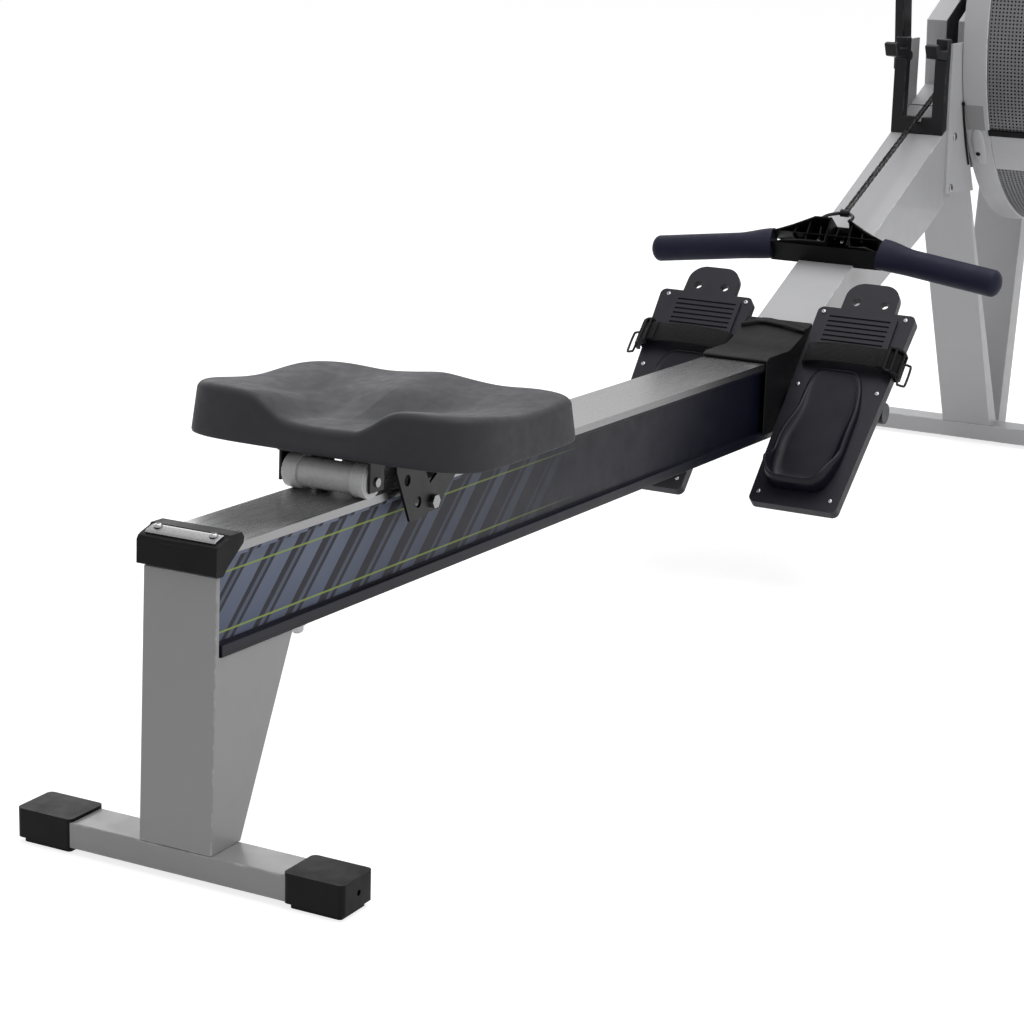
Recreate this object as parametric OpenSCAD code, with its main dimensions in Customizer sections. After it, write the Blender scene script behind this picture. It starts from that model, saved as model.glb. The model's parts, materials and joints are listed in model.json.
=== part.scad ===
// Air rowing machine with a sliding seat, in millimetres.
// +X runs from the rear foot to the flywheel, +Y to the rower's left and +Z up.

/* [Main sizes] */
// Height of the rail's running surface over the floor at its rear end
rail_top = 275; // [250:300]
// Width of the rail over its flanges
rail_wide = 72; // [64:84]
// Height of the rail from lower flange to running surface
rail_tall = 88; // [80:96]
// Fall of the rail towards the flywheel, in degrees
rail_fall = 1.478; // [0:0.1:3]
// Length of the rail from its rear end to the joint under the cover
rail_long = 1130; // [1000:1250]
// Wall thickness of the folded steel parts
sheet = 3; // [2:0.5:4]

/* [Feet] */
// Width of the rear foot over its end caps
rear_foot_wide = 313.6; // [260:400]
// Width of the front foot over its end caps
front_foot_wide = 610; // [560:700]
// Depth of both foot bars
foot_deep = 40; // [36:46]
// Length of one plastic end cap
cap_long = 55; // [40:70]
// Distance of the front foot bar behind the flywheel axle
front_foot_back = 36; // [20:60]
// Radius of a transport wheel
caster_r = 24; // [18:28]

/* [Seat] */
// Place of the seat's middle along the rail
seat_at = 294; // [260:700]
// Width of the seat
seat_wide = 294; // [250:340]
// Depth of the seat
seat_deep = 217.5; // [190:250]
// Thickness of the seat at its edge
seat_edge = 39; // [30:50]
// Diameter of the upper seat rollers
roller_d = 30; // [24:36]
// Diameter of the lower seat rollers
low_roller_d = 13; // [10:16]

/* [Footrests] */
// Slope of the footplates, in degrees
plate_slope = 46.4; // [40:52]
// Length of a footplate along its slope
plate_long = 264; // [250:300]
// Distance of a footplate's inner edge from the middle
plate_in = 41; // [41:60]
// Thickness of a footplate
plate_thick = 12; // [8:18]
// Width of a foot strap
strap_wide = 26; // [20:32]

/* [Handle and chain] */
// Length of the handle
handle_long = 441; // [380:520]
// Diameter of a handle grip
grip_d = 31; // [25:36]
// Width of the chain
chain_wide = 5; // [4.5:0.5:7]

/* [Flywheel] */
// Radius of the flywheel cage
cage_r = 270; // [250:290]
// Width of the cage
cage_wide = 160; // [130:190]
// Width of each rim of the cage
rim_wide = 32; // [20:45]
// Number of fan blades
blades = 16; // [8:24]
// Number of slots in the cage's screen
cage_slots = 40; // [16:60]

/* [Monitor] */
// Height of the middle of the monitor over the floor
monitor_z = 985; // [930:1040]
// Width of the monitor
monitor_wide = 176; // [150:220]
// Height of the monitor
monitor_tall = 190; // [160:230]

/* [Hidden] */
$fn = 40;
// Gap between faces that rest against each other or roll on each other
clear = 0.05;

rail_half = rail_wide / 2;
rail_low = rail_top - rail_tall;
flange = 10;
groove = 5;
rear_x = -1.2;
bar_low = 4.9;
bar_top = 27;

// The end of the rail's running surface in the machine's own coordinates
joint_x = rail_long * cos(rail_fall) + rail_top * sin(rail_fall);
joint_z = rail_top * cos(rail_fall) - rail_long * sin(rail_fall);
// The front end is drawn with that point here, and moves with it
drawn_x = 1136.717;
drawn_z = 245.762;
shift_x = joint_x - drawn_x;
ground = drawn_z - joint_z;

// Top of the sloping tube at its upper end, in the front end's drawing
tube_end = 1663;
tube_rise = 0.44705;
end_z = 276 + tube_rise * (tube_end - 1203);
// The flywheel's axle lies this far ahead of that point and over it
axle_ahead = 247;
axle_over = 103.357;
axle_x = tube_end + axle_ahead;
axle_z = end_z + axle_over;
// The middle of the whole machine's length lies at X = 0
mid_x = (rear_x + axle_x + shift_x + cage_r) / 2;
foot_x = axle_x - front_foot_back;
tube_half = rail_half - 1.2;
web_half = tube_half - 1.1;
cheek_out = tube_half + sheet;
cage_y0 = -cheek_out - 0.4;
cage_y1 = cage_y0 - cage_wide;
cover_half = rail_half + 3;
light_paint = [0.72, 0.73, 0.74];
mid_paint = [0.60, 0.61, 0.62];
black_plastic = [0.07, 0.07, 0.08];

// Height of the rail's running surface under the cover, as drawn
function rail_line(x) = drawn_z + (drawn_x - x) * tan(rail_fall);
// Height of the sloping tube's top, as drawn
function tube_z(x) = end_z + tube_rise * (x - tube_end);
// A point given from the tube's upper end, and one given from the flywheel's axle
function at_end(x, z) = [tube_end + x, end_z + z];
function at_axle(x, z) = [axle_x + x, axle_z + z];
// A point under the tube's top, at a share of its length
function under_tube(share, drop) = let (x = drawn_x + share * (tube_end - drawn_x)) [x, tube_z(x) - drop];

// Places a part of the rear foot
module floorwise() {
  translate([-mid_x, 0, 0]) children();
}

// Places a part drawn along the rail, which falls towards the flywheel
module railwise() {
  translate([-mid_x, 0, 0]) rotate([0, rail_fall, 0]) children();
}

// Places a part of the front end, which is carried by the rail's end
module frontwise() {
  translate([shift_x - mid_x, 0, -ground]) children();
}

// Places a part of the front foot, which stands on the floor
module groundwise() {
  translate([shift_x - mid_x, 0, 0]) children();
}

// Extrudes a side view given as X and Z points between two Y values
module side(points, y0, y1) {
  translate([0, y1, 0]) rotate([90, 0, 0]) linear_extrude(height = y1 - y0) polygon(points);
}

// The same on both sides, between two distances from the middle
module side_pair(points, near, far) {
  side(points, near, far);
  side(points, -far, -near);
}

// A box given by its lower and upper corners
module block(a, b) {
  translate(a) cube([b[0] - a[0], b[1] - a[1], b[2] - a[2]]);
}

// A cylinder along Y between two Y values
module crossbar(x, z, r, y0, y1) {
  translate([x, y1, z]) rotate([90, 0, 0]) cylinder(h = y1 - y0, r = r);
}

// A rounded rectangle
module soft_rect(w, h, r) {
  translate([r, r]) offset(r = r) square([w - 2 * r, h - 2 * r]);
}

// A box with its corners rounded in the plan view
module soft_box(x0, y0, x1, y1, z0, z1, r) {
  translate([x0, y0, z0]) linear_extrude(height = z1 - z0) soft_rect(x1 - x0, y1 - y0, r);
}

cap_wall = 1.2;
cap_reach = 22;

// A cap on one end of a foot bar whose rear face lies at x
module foot_cap(x, y_out) {
  x0 = x - cap_wall;
  x1 = x + foot_deep + 3.2;
  difference() {
    union() {
      soft_box(x0, y_out - cap_long, x1, y_out, bar_low - 0.1, bar_top + 2.8, 5);
      soft_box(x0 + 4, y_out - cap_long + 4, x1 - 4, y_out - 4, 0, bar_low + 0.1, 3);
    }
    block([x, y_out - cap_long - 1, bar_low], [x + foot_deep, y_out - cap_long + cap_reach, bar_top]);
    crossbar(x + 22, 17, 2.5, y_out - 6, y_out + 1);
  }
}

module foot_caps(x, y_out) {
  foot_cap(x, y_out);
  mirror([0, 1, 0]) foot_cap(x, y_out);
}

// A hollow bar whose ends reach into the caps
module foot_bar(x, y_out) {
  reach = y_out - cap_long + cap_reach;
  difference() {
    block([x, -reach, bar_low], [x + foot_deep, reach, bar_top]);
    block([x + sheet, -reach - 1, bar_low + sheet], [x + foot_deep - sheet, reach + 1, bar_top - sheet]);
  }
}

module rear_foot_bar() {
  color(mid_paint) floorwise() foot_bar(0, rear_foot_wide / 2);
}

module rear_foot_caps() {
  color(black_plastic) floorwise() foot_caps(0, rear_foot_wide / 2);
}

leg_half = rail_half - 1.3;
rail_start = 8.7;

// The rear leg is one folded sheet with a wide rear face and two tapered cheeks
module rear_leg() {
  color(mid_paint) floorwise() difference() {
    side([[0, bar_top], [foot_deep + 0.8, bar_top], [117, rail_low + 0.3], [117, rail_low + 13],
      [14, rail_low + 13], [14, rail_top - 23.3], [9.2, rail_top - 23.3]], -leg_half, leg_half);
    rotate([0, rail_fall, 0])
      block([rail_start - 1.8, -rail_half - 14, rail_low + 0.1], [200, rail_half + 14, rail_top + 25]);
    side([[sheet, bar_top + sheet], [foot_deep - 2.5, bar_top + sheet], [110, rail_low - 5.7],
      [8.2, rail_low - 5.2]], sheet - leg_half, leg_half - sheet);
  }
}

module rail_beam() {
  color([0.13, 0.14, 0.20]) railwise() difference() {
    block([rail_start, -rail_half, rail_low + 0.1], [rail_long, rail_half, rail_top - 1]);
    for (s = [-1, 1])
      block([0, s > 0 ? rail_half - groove : -rail_half - 1, rail_low + flange],
        [rail_long + 1, s > 0 ? rail_half + 1 : groove - rail_half, rail_top - flange]);
    block([0, groove + 5 - rail_half, rail_low + flange - 2],
      [rail_long + 1, rail_half - groove - 5, rail_top - flange + 1]);
  }
}

track_side = 0.6;

// The running surface is a thin bright channel pressed over the upper flange
module rail_track() {
  color([0.70, 0.70, 0.70]) railwise() difference() {
    block([rail_start, -rail_half - track_side, rail_top - 7],
      [rail_long - 10, rail_half + track_side, rail_top]);
    block([0, -rail_half, rail_top - 8], [rail_long, rail_half, rail_top - 1]);
  }
}

cap_top = rail_top + 8;
cap_half = rail_half + 1.5;

module rail_end_cap() {
  color(black_plastic) railwise() difference() {
    side([[-3, rail_top - 21], [2.6, rail_top - 22.7], [6.9, rail_top - 22.7], [12.8, rail_top - 16.5],
      [33.5, rail_top - 1], [34.5, rail_top + 4], [31, cap_top], [16, cap_top], [14, strip_top],
      [2, strip_low], [-1, rail_top + 1], [-3, rail_top - 2]], -cap_half, cap_half);
    block([6.9, -rail_half - track_side - 0.1, rail_low], [40, rail_half + track_side + 0.1, rail_top]);
  }
}

// The bright strip lies on the cap's sloping rear edge, between these two heights
strip_low = rail_top + 2.6;
strip_top = rail_top + 6.2;
screw_base = strip_top + 0.9;

// A bright strip with two screws, and two bolts that hold the leg under the rail
module rail_trim() {
  color([0.70, 0.70, 0.71]) railwise() {
    side([[2, strip_low], [14, strip_top], [14, strip_top + 1.6], [11, strip_top + 1.3],
      [3.2, strip_low + 2.6], [1.4, strip_low + 1.2]], 3 - rail_half, rail_half - 3);
    for (s = [-1, 1]) {
      translate([11, s * (rail_half - 10), screw_base]) difference() {
        cylinder(h = 2.4, r = 3.4);
        translate([0, 0, 1.4]) cylinder(h = 2, r = 1.6, $fn = 6);
      }
      translate([126, s * (rail_half - 8), rail_low - 1.9]) cylinder(h = 2, r = 7);
      translate([126, s * (rail_half - 8), rail_low - 6.9]) cylinder(h = 5, r = 5.2, $fn = 6);
    }
  }
}

plate_back = -plate_thick;
bar_r = 12;
bar_z = plate_back - 16.5;
bar_up = 150;
footbar_x = 1139.082;
footbar_z = 190.972;

// Footplate coordinates in the front end's drawing: X up the slope, Z out of the plate
module slopewise() {
  translate([footbar_x, 0, footbar_z]) rotate([0, -plate_slope, 0]) translate([-bar_up, 0, -bar_z])
    children();
}

// The same on one side of the machine, with Y from the plate's inner edge outwards
module platewise(s) {
  frontwise() slopewise() mirror([0, s > 0 ? 0 : 1, 0]) translate([0, plate_in, 0]) children();
}

// A moulded cover hides the joint of the rail and the sloping tube
module front_cover() {
  color([0.09, 0.09, 0.10]) frontwise() difference() {
    side([[1056, 166], [1056, rail_line(1056) + 3.2], [1064, rail_line(1064) + 6.4],
      [1120, rail_line(1120) + 6.8], [1150, 262], [1176, 272], [1212, 291], [1228, 293], [1236, 226],
      [1190, 166]], -cover_half, cover_half);
    side([[1000, 160], [1000, rail_line(1000) + 0.1], [1134, rail_line(1134) + 0.1],
      [1203, tube_z(1203)], [1248, tube_z(1248)], [1248, 160]], -rail_half - track_side - clear,
      rail_half + track_side + clear);
    slopewise() crossbar(bar_up, bar_z, bar_r + 0.2, -60, 60);
  }
}

// The light sloping tube tapers towards its rear end
module main_tube() {
  low_x = drawn_x - 75 * sin(rail_fall);
  low_z = drawn_z - 75 * cos(rail_fall);
  color(light_paint) frontwise() difference() {
    side([[low_x + clear, low_z], [1206.1, 221], under_tube(0.4866, 77.8), under_tube(0.8144, 99.2),
      at_end(-43.1, -118.8), at_end(35.9, -79.3), at_end(0, 0), [1203, tube_z(1203)],
      [drawn_x + clear, drawn_z]], -tube_half, tube_half);
    side([[low_x + 4, low_z + 7], [1206.1, 225], under_tube(0.4866, 73.8), under_tube(0.8144, 95.2),
      at_end(-43.1, -114.8), at_end(48.1, -68.6), at_end(5, 0), [1203, tube_z(1203) - 4],
      [drawn_x + 4, drawn_z - 4]], sheet - tube_half, tube_half - sheet);
  }
}

arm_base = at_end(-15.5, 63.36);
cheek_foot = [at_end(52, -104.64), at_end(59, -110.64)];

// The rear one of the two front legs runs up to the tube, and its cheeks hold the tube's sides
module front_leg_rear() {
  color(light_paint) frontwise() {
    difference() {
      side([[foot_x + 0.5, ground + bar_top], [foot_x + 30, ground + bar_top], cheek_foot[1],
        cheek_foot[0]], -web_half, web_half);
      side([[foot_x + 4, ground + bar_top - 3], [foot_x + 46, ground + bar_top - 3],
        at_end(97, -106.64), at_end(54, -99.64)], sheet - web_half, web_half - sheet);
    }
    difference() {
      side_pair([at_end(-48, -104.64), cheek_foot[1], at_end(27, -51.64), at_end(21, 22.36),
        at_end(21, 84.36), at_end(-56, 84.36), at_end(-56, 24.36)], tube_half, cheek_out);
      crossbar(arm_base[0], arm_base[1], 6.1, 10, cheek_out + 3);
    }
    side_pair([cheek_foot[0], cheek_foot[1], at_end(45, -84.64), at_end(39, -84.64)],
      web_half - sheet, tube_half);
  }
}

// The chassis rests on the front one this far under the axle
rest_drop = 154;

// The front one stands nearly upright and carries the flywheel's chassis
module front_leg_front() {
  bar_x = foot_x + foot_deep;
  color(light_paint) frontwise() difference() {
    side([[bar_x, ground + 6], [bar_x + 33, ground + 6], at_axle(92, -rest_drop),
      at_axle(61, -rest_drop), [bar_x + 2, ground + bar_top], [bar_x, ground + bar_top]],
      -web_half, web_half);
    side([[bar_x + 3, ground], [bar_x + 43, ground], at_axle(102, 4 - rest_drop),
      at_axle(64.5, 4 - rest_drop),
      [bar_x + 5, ground + bar_top - 3], [bar_x + 3, ground + bar_top - 3]],
      sheet - web_half, web_half - sheet);
  }
}

module leg_screws() {
  color([0.8, 0.8, 0.8]) frontwise() for (s = [-1, 1], p = [at_end(-29, -33.64), at_end(-32, -98.64)])
    translate([p[0], s * cheek_out, p[1]]) rotate([s * -90, 0, 0]) difference() {
      cylinder(h = 2, r = 5);
      translate([0, 0, 1]) cylinder(h = 2, r = 2.2, $fn = 6);
    }
}

module front_foot_bar() {
  color(light_paint) groundwise() foot_bar(foot_x, front_foot_wide / 2);
}

module front_foot_caps() {
  color(black_plastic) groundwise() foot_caps(foot_x, front_foot_wide / 2);
}

caster_x = foot_x + foot_deep + 29;
caster_z = caster_r + 6;
caster_y = front_foot_wide / 2 - 115;

// Two small wheels stand clear of the floor until the machine is tipped up
module caster_forks() {
  bar_x = foot_x + foot_deep;
  color(light_paint) groundwise() for (s = [-1, 1]) {
    for (t = [-1, 1])
      side([[bar_x, 8], [bar_x, bar_top], [caster_x + 6, caster_z + 8], [caster_x + 9, caster_z - 3],
        [caster_x, caster_z - 9]], s * caster_y + t * 15 - 1.5, s * caster_y + t * 15 + 1.5);
    crossbar(caster_x, caster_z, 4, s * caster_y - 19, s * caster_y + 19);
  }
}

module caster_wheel(s) {
  color([0.10, 0.10, 0.11]) groundwise() difference() {
    crossbar(caster_x, caster_z, caster_r, s * caster_y - 12, s * caster_y + 12);
    crossbar(caster_x, caster_z, 4.3, s * caster_y - 20, s * caster_y + 20);
    for (t = [-1, 1])
      difference() {
        crossbar(caster_x, caster_z, caster_r - 5, s * caster_y + (t > 0 ? 8 : -13),
          s * caster_y + (t > 0 ? 13 : -8));
        crossbar(caster_x, caster_z, 8, s * caster_y - 20, s * caster_y + 20);
      }
  }
}

module caster_wheel_left() {
  caster_wheel(1);
}

module caster_wheel_right() {
  caster_wheel(-1);
}

// A cross tube and angled arms carry both footplates
module footrest_bracket() {
  color([0.20, 0.20, 0.22]) for (s = [-1, 1]) platewise(s) {
    crossbar(bar_up, bar_z, bar_r, tube_half + clear - plate_in, 109);
    for (y = [29, 77]) block([60, y, plate_back - 12], [plate_long - 38, y + 14, plate_back]);
  }
}

plate_wide_low = 103;
plate_wide_top = 117.5;
// Width of the plate at one place along it
function plate_edge(x) = plate_wide_low + (plate_wide_top - plate_wide_low) * x / plate_long;

module footplate_outline() {
  offset(r = 7) offset(delta = -7) polygon([[0, 0], [0, plate_wide_low], [plate_long, plate_wide_top],
    [plate_long, 0]]);
}

// The screws' places on one plate
plate_screws = [[14, 8.5], [14, 93], [157, 8.5], [157, 103], [plate_long - 7, 7.5],
  [plate_long - 7, 106]];
plate_screw_r = 1.8;
strap_x = plate_long - 55 - strap_wide;
strap_thick = 2.2;
slot_y = 5;

module footplate(s) {
  color([0.10, 0.11, 0.13]) platewise(s) difference() {
    union() {
      translate([0, 0, plate_back]) linear_extrude(height = plate_thick) footplate_outline();
      translate([plate_long, 0, plate_back + 2]) linear_extrude(height = plate_thick - 3) difference() {
        offset(r = 20) polygon([[-20, 45], [-20, 71], [17.5, 70], [17.5, 46]]);
        for (y = [41, 75]) translate([10.7, y]) circle(r = 5);
      }
      // The grooved pad under the toes
      difference() {
        translate([plate_long - 62, 12, -clear]) linear_extrude(height = 2.8) soft_rect(58, 86, 7);
        for (i = [0 : 6])
          translate([plate_long - 54 + i * 6.5, 17, 1.2]) linear_extrude(height = 4) soft_rect(2.4, 74, 1);
      }
    }
    for (p = plate_screws)
      translate([p[0], p[1], plate_back - 8]) cylinder(h = plate_thick + 18, r = plate_screw_r, $fn = 24);
    block([strap_x, slot_y, plate_back - 8], [strap_x + strap_wide, slot_y + strap_thick, 20]);
  }
}

module footplate_left() {
  footplate(1);
}

module footplate_right() {
  footplate(-1);
}

module footplate_screws() {
  color([0.8, 0.8, 0.8]) for (s = [-1, 1]) platewise(s) for (p = plate_screws)
    translate([p[0], p[1], 0]) {
      cylinder(h = 1.4, r = 2.9);
      translate([0, 0, plate_back]) cylinder(h = plate_thick + 1, r = plate_screw_r, $fn = 24);
    }
}

// The heel cup slides along its plate to suit the foot
module heel_cup(s) {
  color([0.11, 0.13, 0.19]) platewise(s) difference() {
    union() {
      translate([26, 17, 0.1]) linear_extrude(height = 40) soft_rect(112, 80, 16);
      translate([116, 29, 0.1]) linear_extrude(height = 3) soft_rect(32, 56, 8);
    }
    translate([30, 21, 3.6]) linear_extrude(height = 60) soft_rect(160, 72, 13);
    side([[60, 50], [200, 50], [200, 4.6], [138, 7], [96, 14], [66, 28], [44, 42]], 9, 105);
  }
}

module heel_cup_left() {
  heel_cup(1);
}

module heel_cup_right() {
  heel_cup(-1);
}

strap_out = plate_edge(strap_x + strap_wide) + 0.4 + strap_thick;
strap_back = plate_back - strap_thick;

// The strap's course across the plate, drawn in by d
function strap_path(d) = [[slot_y + d, strap_back + d], [slot_y + d, 5], [slot_y + 4 + d, 9 - d * 0.5],
  [22, 12.5 - d], [42, 14.5 - d], [61, 15 - d], [82, 14.5 - d], [101, 12 - d], [112 - d, 7.5 - d * 0.5],
  [strap_out - d, 1], [strap_out - d, strap_back + d]];

// The strap arches over the foot's place and passes the plate's two edges
module foot_strap(s) {
  color([0.05, 0.05, 0.06]) platewise(s) translate([strap_x, 0, 0]) rotate([90, 0, 90])
    linear_extrude(height = strap_wide) difference() {
      polygon(strap_path(0));
      polygon(strap_path(strap_thick));
      translate([17, plate_back - 8]) square([86, plate_thick + 10]);
    }
}

module foot_strap_left() {
  foot_strap(1);
}

module foot_strap_right() {
  foot_strap(-1);
}

// A cam buckle clamps the strap's end on the outer side
module strap_buckle(s) {
  color([0.06, 0.06, 0.07]) platewise(s) translate([strap_x - 4, 0, 0]) rotate([90, 0, 90])
    linear_extrude(height = strap_wide + 8) difference() {
      polygon([[96, 11], [101, 16], [112, 13.5], [120, 6.5], [strap_out + 4.4, 0], [strap_out + 4.4, -6],
        [strap_out - 1, -6], [strap_out - 1, 1], [100, 8]]);
      polygon(strap_path(0));
    }
}

module strap_buckle_left() {
  strap_buckle(1);
}

module strap_buckle_right() {
  strap_buckle(-1);
}

// Handle coordinates: the block's middle is the origin, X up towards the chain
handle_x = 1312;
handle_tilt = 55;
// The block leans on the tube with its lower rear edge
handle_z = tube_z(handle_x + 4.055) + 13.387 + clear;
sprocket_r = 14;

module handlewise() {
  frontwise() translate([handle_x, 0, handle_z]) rotate([0, -handle_tilt, 0]) children();
}

// The chain's free stretch runs from the handle's bail to the top of the sprocket
chain_a = [handle_x + 53, handle_z + 37.02];
chain_b = [axle_x - 5.4, axle_z + sprocket_r];
chain_tilt = atan2(chain_b[1] - chain_a[1], chain_b[0] - chain_a[0]);
chain_length = norm(chain_b - chain_a);
chain_half = chain_wide / 2;
chain_tall = 5.2;
link = 0.6;
// Height of the chain's lower edge
function chain_low(x) = chain_a[1] + (x - chain_a[0]) * tan(chain_tilt) - chain_tall / 2 / cos(chain_tilt);

module chainwise() {
  frontwise() translate([chain_a[0], 0, chain_a[1]]) rotate([0, -chain_tilt, 0]) children();
}

// A pair of link plates between two places along the chain
module chain_plates(x0, x1, outer, tall) {
  for (s = [-1, 1])
    block([x0, s > 0 ? outer - link : -outer, -tall / 2], [x1, s > 0 ? outer : link - outer, tall / 2]);
}

// The free stretch is three runs, one inside the other, that draw out with the handle
module chain_upper() {
  color([0.10, 0.10, 0.10]) chainwise() chain_plates(6, chain_length, chain_half, chain_tall);
}

module chain_middle() {
  color([0.10, 0.10, 0.10]) chainwise()
    chain_plates(8, chain_length - 14, chain_half - link - clear, chain_tall - 0.4);
}

module chain_lower() {
  half = chain_half - 2 * link - 2 * clear;
  color([0.10, 0.10, 0.10]) chainwise()
    block([5, -half, 0.8 - chain_tall / 2], [chain_length - 14, half, chain_tall / 2 - 0.8]);
}

// The bail joins the handle's block to the chain
module chain_swivel() {
  color([0.08, 0.08, 0.09]) chainwise() {
    crossbar(0, 0, 5, -chain_half - 2.5, chain_half + 2.5, $fn = 24);
    for (s = [-1, 1]) hull() {
      translate([-1, s * (chain_half + 2), 0]) sphere(r = 2.2, $fn = 16);
      translate([-30, s * 18, 7.1]) sphere(r = 2.2, $fn = 16);
    }
  }
}

core_half = 70;
core_thick = 22;
grip_back = 8.2;

// The middle block is bowed towards the chain and ribbed inside
module handle_core() {
  color([0.07, 0.07, 0.08]) handlewise() difference() {
    linear_extrude(height = core_thick, center = true) offset(r = 3) offset(delta = -3)
      polygon([[-15, -core_half], [-10, -45], [-4, 0], [-10, 45], [-15, core_half], [13, core_half],
        [24, 45], [37, 22], [37, -22], [24, -45], [13, -core_half]]);
    for (y = [-45, -30, -15, 0, 15, 30, 45])
      translate([4 - abs(y) / 7, y - 5, 3]) cube([20 - abs(y) / 5, 10, 12]);
  }
}

grip_r = grip_d / 2;
grip_long = (handle_long / 2 - core_half) / cos(grip_back) - 0.6 * (grip_r + 0.5) - 1.5;

// Two straight grips lean back from the block
module handle_grips() {
  color([0.08, 0.10, 0.22]) handlewise() for (s = [-1, 1])
    difference() {
      translate([-1, s * core_half, 0]) rotate([0, 0, s * grip_back]) rotate([s * -90, 0, 0]) {
        translate([0, 0, -6]) cylinder(h = grip_long + 6, r1 = grip_r - 1, r2 = grip_r + 0.5);
        translate([0, 0, grip_long]) scale([1, 1, 0.6]) sphere(r = grip_r + 0.5);
      }
      block([-60, s > 0 ? core_half - 30 : -core_half, -30], [60, s > 0 ? core_half : 30 - core_half, 30]);
    }
}

hook_x = tube_end - 67;
hook_tall = 120;
hook_deep = 14;
hook_half = tube_half - clear;
hook_gap = 18.5;
saddle_z = chain_low(hook_x) - 1.9;
notch_deep = 6;
post_z = tube_z(hook_x) + hook_tall;

// A black U on the tube holds the handle between rows
module handle_hook() {
  color([0.06, 0.06, 0.07]) frontwise() {
    difference() {
      block([hook_x, -hook_half, tube_z(hook_x) - 6], [hook_x + hook_deep, hook_half, post_z]);
      block([hook_x - 1, -hook_gap, saddle_z + notch_deep], [hook_x + hook_deep + 1, hook_gap, post_z + 1]);
      // The chain passes through a notch in the saddle
      block([hook_x - 1, -5, saddle_z], [hook_x + hook_deep + 1, 5, saddle_z + notch_deep + 1]);
      side([[hook_x - 80, tube_z(hook_x - 80)], at_end(0, 0), at_end(0, -100),
        [hook_x - 80, tube_z(hook_x - 80) - 60]], -60, 60);
    }
    side_pair([[hook_x + 1, post_z - 26], [hook_x - 34, post_z - 22], [hook_x - 42, post_z - 6],
      [hook_x - 34, post_z - 4], [hook_x - 26, post_z - 12], [hook_x + 1, post_z - 14]],
      hook_gap, hook_half);
  }
}

chassis_half = tube_half - clear;
chassis_side = [at_end(37.5, -79.64), at_end(1, 1.16), at_end(49, 22.66), at_end(43, 106.36),
  at_axle(-110, 51), at_axle(-38, 83), at_axle(40, 83), at_axle(100, 25), at_axle(110, -45),
  at_axle(92, clear - rest_drop), at_axle(50, clear - rest_drop), at_axle(-60, -95),
  at_end(127, -11.64), at_end(72, -81.64)];
axle_r = 9.8;

// The chassis box joins the tube to both front legs and carries the flywheel's axle
module chassis() {
  color(light_paint) frontwise() {
    difference() {
      side(chassis_side, -chassis_half, chassis_half);
      translate([0, chassis_half - sheet, 0]) rotate([90, 0, 0])
        linear_extrude(height = 2 * (chassis_half - sheet)) offset(delta = -sheet) polygon(chassis_side);
      block([tube_end + 27, -chain_half - 5.5, end_z + 18], [tube_end + 132, chain_half + 5.5, axle_z + 70]);
      crossbar(axle_x, axle_z, axle_r + 0.4, -60, 60);
    }
    // Round seats carry the axle, and three bosses carry the cage
    for (s = [-1, 1]) difference() {
      crossbar(axle_x, axle_z, 24, s > 0 ? chassis_half : -chassis_half - 2.2,
        s > 0 ? chassis_half + 2.2 : -chassis_half);
      crossbar(axle_x, axle_z, axle_r + 0.4, -60, 60);
    }
    for (p = [at_axle(-72, 43), at_axle(80, -25), at_axle(52, -105)])
      crossbar(p[0], p[1], 12, cage_y0, -chassis_half);
  }
}

// One ring of the cage, with a flat web towards its middle
module cage_ring(y0, y1, hole, web_y0, web_y1) {
  difference() {
    crossbar(axle_x, axle_z, cage_r, y0, y1, $fn = 96);
    crossbar(axle_x, axle_z, cage_r - 4, y0 - 1, y1 + 1, $fn = 96);
  }
  difference() {
    crossbar(axle_x, axle_z, cage_r - 3.9, web_y0, web_y1, $fn = 96);
    crossbar(axle_x, axle_z, hole, web_y0 - 1, web_y1 + 1, $fn = 64);
  }
}

inlet_r = 105;

module cage_rim_inner() {
  color(light_paint) frontwise() cage_ring(cage_y0 - rim_wide, cage_y0, 70, cage_y0 - 3, cage_y0);
}

module cage_rim_outer() {
  color(light_paint) frontwise() cage_ring(cage_y1, cage_y1 + rim_wide, inlet_r, cage_y1, cage_y1 + 3);
}

// The screen between the rims is a slotted sheet that lets the air out
module cage_screen() {
  slot_long = (cage_wide - 2 * rim_wide) * 0.75;
  slot_tall = 660 / cage_slots;
  color([0.24, 0.24, 0.25]) frontwise() difference() {
    crossbar(axle_x, axle_z, cage_r - 2, cage_y1 + rim_wide, cage_y0 - rim_wide, $fn = 96);
    crossbar(axle_x, axle_z, cage_r - 4, cage_y1, cage_y0, $fn = 96);
    for (i = [0 : cage_slots - 1])
      translate([axle_x, (cage_y0 + cage_y1) / 2, axle_z]) rotate([0, i * 360 / cage_slots, 0])
        translate([cage_r - 10, -slot_long / 2, -slot_tall / 2]) cube([20, slot_long, slot_tall]);
  }
}

// A smooth band crosses the screen low on its rear side
module cage_band() {
  color(light_paint) frontwise() intersection() {
    difference() {
      crossbar(axle_x, axle_z, cage_r, cage_y1 + rim_wide, cage_y0 - rim_wide, $fn = 96);
      crossbar(axle_x, axle_z, cage_r - 2, cage_y1, cage_y0, $fn = 96);
    }
    block([axle_x - cage_r - 1, cage_y1, axle_z - 182], [axle_x - 100, cage_y0, axle_z - 133]);
  }
}

cable_r = 1.4;
cable_y = -cheek_out - cable_r;
// A point of the cable, just outside the cage at angle a under the axle's level
function cable_point(a, out) = [axle_x - (cage_r + out) * cos(a), cable_y, axle_z - (cage_r + out) * sin(a)];
cable = [cable_point(20.8, 2.8), cable_point(25.7, 4.2), cable_point(30.5, 6.1), cable_point(39.1, 10.8)];

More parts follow.
